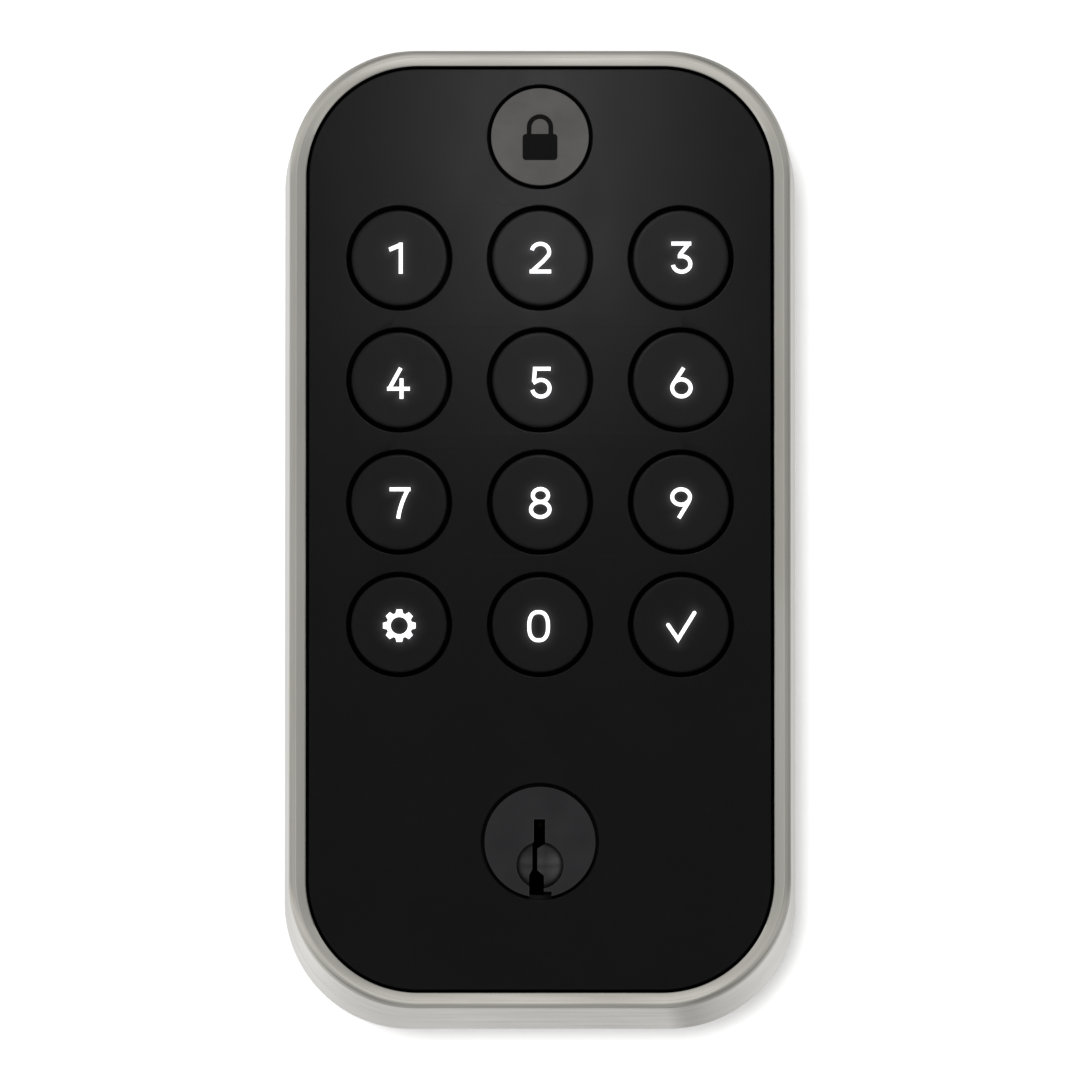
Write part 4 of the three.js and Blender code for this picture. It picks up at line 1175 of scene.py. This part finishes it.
def screw_mesh(length):
    """A pan-head screw with a cross recess, its head's top at Y = 0 and its tip at Y = -length."""
    profile = [
        (0, 0), (1.7, -0.06), (2.25, -0.3), (2.5, -0.62),
        (2.5, -SCREW_HEAD + 0.1), (2.4, -SCREW_HEAD), (1.2, -SCREW_HEAD),
        *thread(1.2, 0.22, 0.7, -SCREW_HEAD - 0.3, -length + 0.9),
        (0.95, -length + 0.9), (0.25, -length), (0, -length),
    ]
    long, wide = (-1.35, 1.35), (-0.26, 0.26)
    recess = [block(*across, -0.8, 0.3, *along) for across, along in ((long, wide), (wide, long))]
    return cut(turned(profile, facets=40), *recess)


def add_screws():
    names = [f"board_screw_{i}" for i in range(1, 5)] + [f"rear_screw_{i}" for i in range(1, 5)]
    names += [f"{kind}_screw_{side}" for kind in ("cylinder", "fascia") for side in ("left", "right")]
    for i, name in enumerate(names):
        (tip, top), (x, z) = depths_of(name), spot_of(name)
        mesh = screw_mesh(top - tip)
        turn = Matrix.Rotation(math.radians(37 * i), 4, "Y")
        mesh.transform(Matrix.Translation((x, top, z)) @ turn)
        piece(f"{name}_turned", mesh, PLATED_STEEL, UNIT, name)


def add_posts():
    """The two threaded posts that the fixing bolts pull towards the inside of the door."""
    stud, shoulder, socket, bore = 1.7, 2.0, 1.9, 12.6
    for node, spot in zip(("mounting_post_left", "mounting_post_right"), POST_SPOTS):
        front, back = depths_of(node)
        profile = [
            (0, front), (1.5, front), (stud, front + 0.2),
            *thread(stud, 0.2, 0.6, front + 0.4, front + 1.8),
            (1.5, front + shoulder), (3.1, front + shoulder), (POST_RADIUS, front + shoulder + 0.3),
            (POST_RADIUS, back - 0.35), (3.05, back), (2.2, back), (socket, back - 0.3),
            *thread(socket, -0.25, 0.8, back - 0.5, back - bore + 0.2),
            (1.6, back - bore), (0, back - bore - 0.6),
        ]
        piece(f"{node}_turned", turned(profile, *spot, 64), PLATED_STEEL, UNIT, node)


# ---------------------------------------------------------------- back

def make_rear_cover():
    """The back plate: a flange in the housing, a raised pad, and openings for all that passes."""
    front = low_of("rear_cover").y
    cutter_front = front - BEYOND
    flange = plate([oval(COVER)], COVER_FLANGE_BACK, front, 0.15)
    pad = plate([oval(COVER_PAD)], 0, front + 0.5, 0.35, 3)
    pocket = plate([oval(COVER_POCKET)], COVER_FLANGE_BACK, cutter_front)
    openings = discs(CORNER_SPOTS, CLEARANCE_RADIUS, BEYOND, cutter_front, 32)
    openings += discs(POST_SPOTS, 3.9, BEYOND, cutter_front, 64)
    openings += discs([spot_of("cable_grommet")], 4.9, BEYOND, cutter_front, 64)
    openings.append(plate([keyhole(SHELL_CLEARANCE)], BEYOND, cutter_front))
    seats = discs(CORNER_SPOTS, 2.9, BEYOND, -1.6)
    return cut(join(flange, pad), pocket, gather(openings), gather(seats))


def make_gasket():
    """The foam ring between the lock and the door, rounded where it meets the door."""
    front, back = depths_of("door_gasket")
    half, rounding = GASKET_INNER / 2, 0.7
    section = [(0, front)]
    section += [(half - half * x, back - rounding + rounding * y) for x, y in arc(0, 0, 1, 0, 180, 12)]
    section += [(GASKET_INNER, front)]
    return frame_ring([(*inset(COVER, x), y) for x, y in section])


def make_grommet():
    """The soft cable guide in the back plate."""
    front, back = depths_of("cable_grommet")
    neck, lip_back, lip_radius = 4.7, -2.1, 6.3
    profile = [
        (3.85, back), (4.45, back), (neck, back - 0.25), (neck, lip_back),
        (lip_radius - 0.3, lip_back), (lip_radius, lip_back - 0.25),
        (lip_radius, front + 0.3), (lip_radius - 0.3, front), (3.9, front), (3.6, front + 0.3),
        (3.6, back - 0.25), (3.85, back),
    ]
    return turned(profile, *spot_of("cable_grommet"), 64)


# ---------------------------------------------------------------- key cylinder

def chambers(bottom, top):
    """Upright drillings for the pins, between two heights over the axis."""
    return gather([drill(CHAMBER_RADIUS, bottom, top, y, 32) for y in PIN_PLACES])


def make_shell():
    """The cylinder's fixed shell, with the barrel and its bore, the pin housing and the two screw ears."""
    barrel = plate([keyhole(0, 96)], SHELL_BACK, SHELL_FRONT, 0.2)
    (left, z), (right, z) = EAR_SPOTS
    ears_outline = [*arc(right, z, EAR_RADIUS, -90, 90, 20), *arc(left, z, EAR_RADIUS, 90, 270, 20)]
    holes = [circle(*spot, CLEARANCE_RADIUS, 32) for spot in EAR_SPOTS]
    ears = plate([ears_outline, *holes], LEDGE_BACK + 2.5, LEDGE_BACK + 0.3, 0.15)
    front, back = SHELL_FRONT - BEYOND, SHELL_BACK + BEYOND
    bore = [
        (0, front), (FACE_BORE_RADIUS, front), (FACE_BORE_RADIUS, FACE_BORE_END),
        (BORE_RADIUS, FACE_BORE_END), (BORE_RADIUS, SHELL_BACK - 0.2), (BORE_RADIUS + 0.7, back), (0, back),
    ]
    return cut(join(barrel, ears), turned(bore, 0, AXIS_Z, 96, phase=0.02), chambers(4, BIBLE_RISE + BEYOND))


def make_plug():
    """The plug that the key turns: face, keyway with its wards, pin chambers, groove and tail seat."""
    rim, groove_radius, groove = 0.14, 4.0, (8.7, 9.6)
    profile = [
        (0, PLUG_FRONT),
        *[(FACE_RADIUS - rim + x, PLUG_FRONT + rim - y) for x, y in arc(0, 0, rim, 90, 0, 5)],
        (FACE_RADIUS, FACE_BACK), (PLUG_RADIUS, FACE_BACK), (PLUG_RADIUS, SHELL_BACK),
        (TAIL_RADIUS, SHELL_BACK), (TAIL_RADIUS, groove[0]), (groove_radius, groove[0]),
        (groove_radius, groove[1]), (TAIL_RADIUS, groove[1]), (TAIL_RADIUS, PLUG_BACK - 0.2),
        (TAIL_RADIUS - 0.2, PLUG_BACK), (0, PLUG_BACK),
    ]
    ways = [(0.66, 2.95), (-0.80, 2.95), (-0.80, 0.1), (-0.98, -0.2), (-0.98, -3.4), (-1.40, -4.2),
            (-1.40, -8.0), (0.50, -8.0), (0.50, -4.2), (-0.35, -3.5), (-0.35, -0.8), (0.66, -0.2)]
    front = PLUG_FRONT - BEYOND
    keyway = plate([[(x, AXIS_Z + z) for x, z in ways]], 4.8, front)
    foot = block(0.3, 1.5, front, -18.5, AXIS_Z - 8, AXIS_Z - 6.37)
    reach, sink = 3.05, 1.5
    ball = (reach ** 2 + sink ** 2) / (2 * sink)
    opening = math.degrees(math.acos(reach / ball))
    hollow = [(r, PLUG_FRONT + sink - ball + y) for r, y in arc(0, 0, ball, 90, opening, 16)]
    dimple = turned([(0, hollow[0][1]), *hollow[1:], (reach, front), (0, front)], 0, AXIS_Z - 3.0, 64)
    pocket = block(-3.9, 3.9, 5.1, PLUG_BACK + BEYOND, AXIS_Z - 1, AXIS_Z + 1)
    pin_hole = drill(0.87, -8, 8, centre_of("tailpiece_pin").y, 24)
    return cut(turned(profile, 0, AXIS_Z, 128), keyway, foot, dimple, pocket, pin_hole, chambers(-0.95, 8))


def make_clip():
    """The spring ring behind the shell, open below, with an eye in each end for the pliers."""
    front, back = depths_of("retaining_clip")
    inner, outer, start, end = 4.2, 7.6, -54, 234
    outline = [*arc(0, AXIS_Z, outer, start, end, 72), *arc(0, AXIS_Z, inner, end, start, 72)]
    eyes = arc(0, AXIS_Z, (inner + outer) / 2, start + 11, end - 11, 1)
    return plate([outline, *[circle(x, z, 0.7, 24) for x, z in eyes]], back, front, 0.1)


def make_tailpiece():
    """The flat blade that turns the bolt, notched so that it can be snapped to length."""
    low, high = low_of("tailpiece"), high_of("tailpiece")
    half_width, back = high.x, high.y
    bevel, notch, place = 1, 0.45, back - 8
    right = [(half_width - bevel, back), (half_width, back - bevel)]
    while place > 22.4:
        right += [(half_width, place + notch), (half_width - notch, place), (half_width, place - notch)]
        place -= 6
    right.append((half_width, low.y))
    outline = right + [(-x, y) for x, y in reversed(right)]
    hole = circle(0, centre_of("tailpiece_pin").y, 0.95, 24)
    blade = plate([outline, hole], high.z - AXIS_Z, low.z - AXIS_Z, 0.12)
    blade.transform(Matrix.Translation((0, 0, AXIS_Z)) @ Matrix.Rotation(-math.pi / 2, 4, "X"))
    return blade


def add_pins():
    """The pin stacks: pointed key pins, flat driver pins and a coil spring on each."""
    edge = 0.15
    for i, place in enumerate(PIN_PLACES, 1):
        low, high = heights_of(f"key_pin_{i}")
        point = [(0, low), (0.35, low + 0.05), (0.6, low + 0.2), (PIN_RADIUS, low + 1.0)]
        profiles = {
            f"key_pin_{i}": point + rod(PIN_RADIUS, edge, low, high)[3:],
            f"driver_pin_{i}": rod(PIN_RADIUS, edge, *heights_of(f"driver_pin_{i}")),
        }
        for node, profile in profiles.items():
            pin = turned(profile, 0, place, 40, upright=True)
            piece(f"{node}_turned", pin, TURNED_BRASS, node, node)
        node = f"pin_spring_{i}"
        low, high = heights_of(node)
        spring = piece(f"{node}_coil", coil(place, low, high), PLATED_STEEL, UNIT, node)
        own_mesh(spring)


def coil(place, low, high, wire=0.14, turns=7.5, sides=8, steps=20):
    """A coil spring on an upright axis through (0, place), wound closer at its ends and its middle."""
    radius = 1.2
    count = int(turns * steps)
    rise = high - low - 2 * wire
    verts, faces = [], []
    for i in range(count + 1):
        angle = 2 * math.pi * i / steps
        share = i / count
        height = low + wire + rise * (share - math.sin(4 * math.pi * share) / (9 * math.pi))
        for k in range(sides):
            around = 2 * math.pi * k / sides
            reach = radius + wire * math.cos(around)
            x, y = reach * math.cos(angle), place + reach * math.sin(angle)
            verts.append((x, y, height + wire * math.sin(around)))
    for i in range(count):
        for k in range(sides):
            j = (k + 1) % sides
            faces.append((i * sides + k, i * sides + j, (i + 1) * sides + j, (i + 1) * sides + k))
    faces.append(tuple(range(sides)))
    faces.append(tuple(count * sides + k for k in reversed(range(sides))))
    return mesh_from(verts, faces)


def add_cylinder():
    piece("cylinder_shell_cast", make_shell(), ZINC, UNIT, "cylinder_shell")
    piece("plug_body", make_plug(), BLACK_NICKEL, PLUG, "cylinder_plug")
    piece("retaining_clip_ring", make_clip(), PLATED_STEEL, PLUG, "retaining_clip")
    piece("tailpiece_blade", make_tailpiece(), ROLLED_STEEL, PLUG, "tailpiece")
    low, high = low_of("tailpiece_pin"), high_of("tailpiece_pin")
    pin = turned(rod(high.x, 0.12, low.z, high.z), 0, centre_of("tailpiece_pin").y, 32, upright=True)
    piece("tailpiece_cross_pin", pin, PLATED_STEEL, PLUG, "tailpiece_pin")
    keep("pin_chamber_cover", TURNED_BRASS, 0.15)
    add_pins()


# ---------------------------------------------------------------- the lock

shade_inside_casing(piece("housing_shell", make_housing(), NICKEL, UNIT, "housing"))
piece("front_panel", make_panel(), PANEL_BLACK, UNIT, "fascia")
piece("panel_seal", make_seal(), RUBBER, UNIT, "fascia_seal")
piece("back_plate", make_rear_cover(), POWDER_COAT, UNIT, "rear_cover")
piece("door_seal", make_gasket(), RUBBER, UNIT, "door_gasket")
piece("cable_guide", make_grommet(), RUBBER, UNIT, "cable_grommet")
add_keys()
add_button()
add_membrane()
add_electronics()
add_screws()
add_posts()
add_cylinder()


# ---------------------------------------------------------------- camera, stage and light

def aimed(name, data, way, place=(0, 0, 0)):
    """A camera or lamp at a place, looking along a direction."""
    holder = placed(name, data)
    holder.location = place
    holder.rotation_euler = Vector(way).to_track_quat("-Z", "Y").to_euler()
    return holder


def add_camera():
    """A long lens a little below the lock's middle, so that the underside just shows."""
    camera = bpy.data.cameras.new("camera")
    camera.sensor_width = SENSOR_WIDTH
    camera.lens = SENSOR_WIDTH * CAMERA_DISTANCE / (FRAME_WIDTH * MM)
    camera.clip_end = 20
    away = Vector((0, -math.cos(CAMERA_DROP), -math.sin(CAMERA_DROP)))
    aim = Vector((0, FRONT, AIM_Z)) * MM
    bpy.context.scene.camera = aimed("camera", camera, -away, aim + away * CAMERA_DISTANCE)


def light_only(name, lamp, receivers):
    """Keeps a lamp off everything but the named objects."""
    collection = bpy.data.collections.new(name)
    for receiver in receivers:
        collection.objects.link(bpy.data.objects[receiver])
    lamp.light_linking.receiver_collection = collection


def add_panel_light():
    """A soft strip in front of the panel's top, for the sheen on the black pieces."""
    light = bpy.data.lights.new("panel_light", "AREA")
    light.shape = "RECTANGLE"
    light.size, light.size_y = PANEL_LIGHT_SIZE
    light.energy = PANEL_LIGHT_POWER
    way = Vector(PANEL_LIGHT_AIM) - Vector(PANEL_LIGHT_PLACE)
    lamp = aimed("panel_light", light, way, PANEL_LIGHT_PLACE)
    lamp.visible_camera = False
    black = [*(f"{key}_cap" for key in KEYS), "front_panel", "lock_button_body"]
    light_only("lit_by_panel_light", lamp, black)


def add_shadow_light():
    """The sun that draws the lock's soft shadow on the wall."""
    sun = bpy.data.lights.new("shadow_light", "SUN")
    sun.energy = SUN_POWER
    sun.angle = SUN_ANGLE
    light_only("lit_by_shadow_light", aimed("shadow_light", sun, SUN_WAY), ["wall"])


def stage_plane(name, corners, glow):
    """A pale surface that is seen only from its front, so that it never hides the lock's back,
    with painted shade behind the cylinder that stands for a door's bore."""
    mesh = mesh_from(corners, [(0, 1, 2, 3)])
    mesh.name = name
    surface = placed(name, mesh)
    surface.visible_glossy = False
    look = Look(name, Emission_Color=WHITE, Specular_IOR_Level=0.0)
    pale = (STAGE_BRIGHTNESS,) * 3
    surfaced = look.mottled(look.noise(3, 2), pale, tuple(0.99 * c for c in pale))
    axis = (0, 0, AXIS_Z * MM)
    distance = look.node("VectorMath", {0: look.place, 1: axis}, operation="DISTANCE").outputs["Value"]
    # Painted shade: a near-black disc without glow round the cylinder's axis
    bore_shade = look.remap(distance, 1.0, 0.0, BORE_SHADE_RADIUS, BORE_SHADE_RADIUS + 0.0005)
    look.drive("Emission Strength", look.math("MULTIPLY", look.math("SUBTRACT", 1.0, bore_shade), glow))
    mesh.materials.append(look.finish(look.mix(bore_shade, surfaced, UNLIT), 0.9))
    from_behind = look.node("NewGeometry").outputs["Backfacing"]
    see_through = look.node("BsdfTransparent").outputs["BSDF"]
    shown = look.choose(from_behind, look.shader.outputs["BSDF"], see_through)
    look.feed(look.nodes["Material Output"].inputs["Surface"], shown)


def add_stage():
    """The wall that the lock is fixed to, just behind the door plane, and the floor below."""
    square = ((-1, -1), (1, -1), (1, 1), (-1, 1))
    wall = [(x * WALL_HALF_WIDTH, WALL_PLACE, WALL_TOP if z > 0 else FLOOR_PLACE) for x, z in square]
    floor = [(x * FLOOR_HALF_WIDTH, y * FLOOR_HALF_WIDTH, FLOOR_PLACE) for x, y in square]
    stage_plane("wall", wall, WALL_GLOW)
    stage_plane("floor", floor, FLOOR_GLOW)


def add_world():
    """A white backdrop to look at, and a studio all round for the light. In front it is dimmer at
    the lock's own height than a little above and below it, and darkest to the right."""
    world = bpy.data.worlds.new("studio")
    world.use_nodes = True
    bpy.context.scene.world = world
    world.node_tree.nodes.clear()
    graph = Graph(world.node_tree)
    axes = graph.node("SeparateXYZ", {"Vector": graph.node("TexCoord").outputs["Generated"]}).outputs
    front, back = (
        graph.mix(1.0, graph.ramp(axes["Z"], upright), graph.ramp(axes["X"], across), "MULTIPLY")
        for upright, across in ((FRONT_UPRIGHT, FRONT_ACROSS), (BACK_UPRIGHT, BACK_ACROSS))
    )
    light = graph.mix(graph.ramp(axes["Y"], FRONT_TO_BACK), front, back)
    studio = graph.node("Background", {"Color": light}).outputs["Background"]
    backdrop = graph.node("Background", {"Color": WHITE}).outputs["Background"]
    seen = graph.node("LightPath").outputs["Is Camera Ray"]
    graph.node("OutputWorld", {"Surface": graph.choose(seen, studio, backdrop)})


add_camera()
add_world()
add_stage()
add_panel_light()
add_shadow_light()
bpy.context.scene.view_settings.view_transform = "Standard"
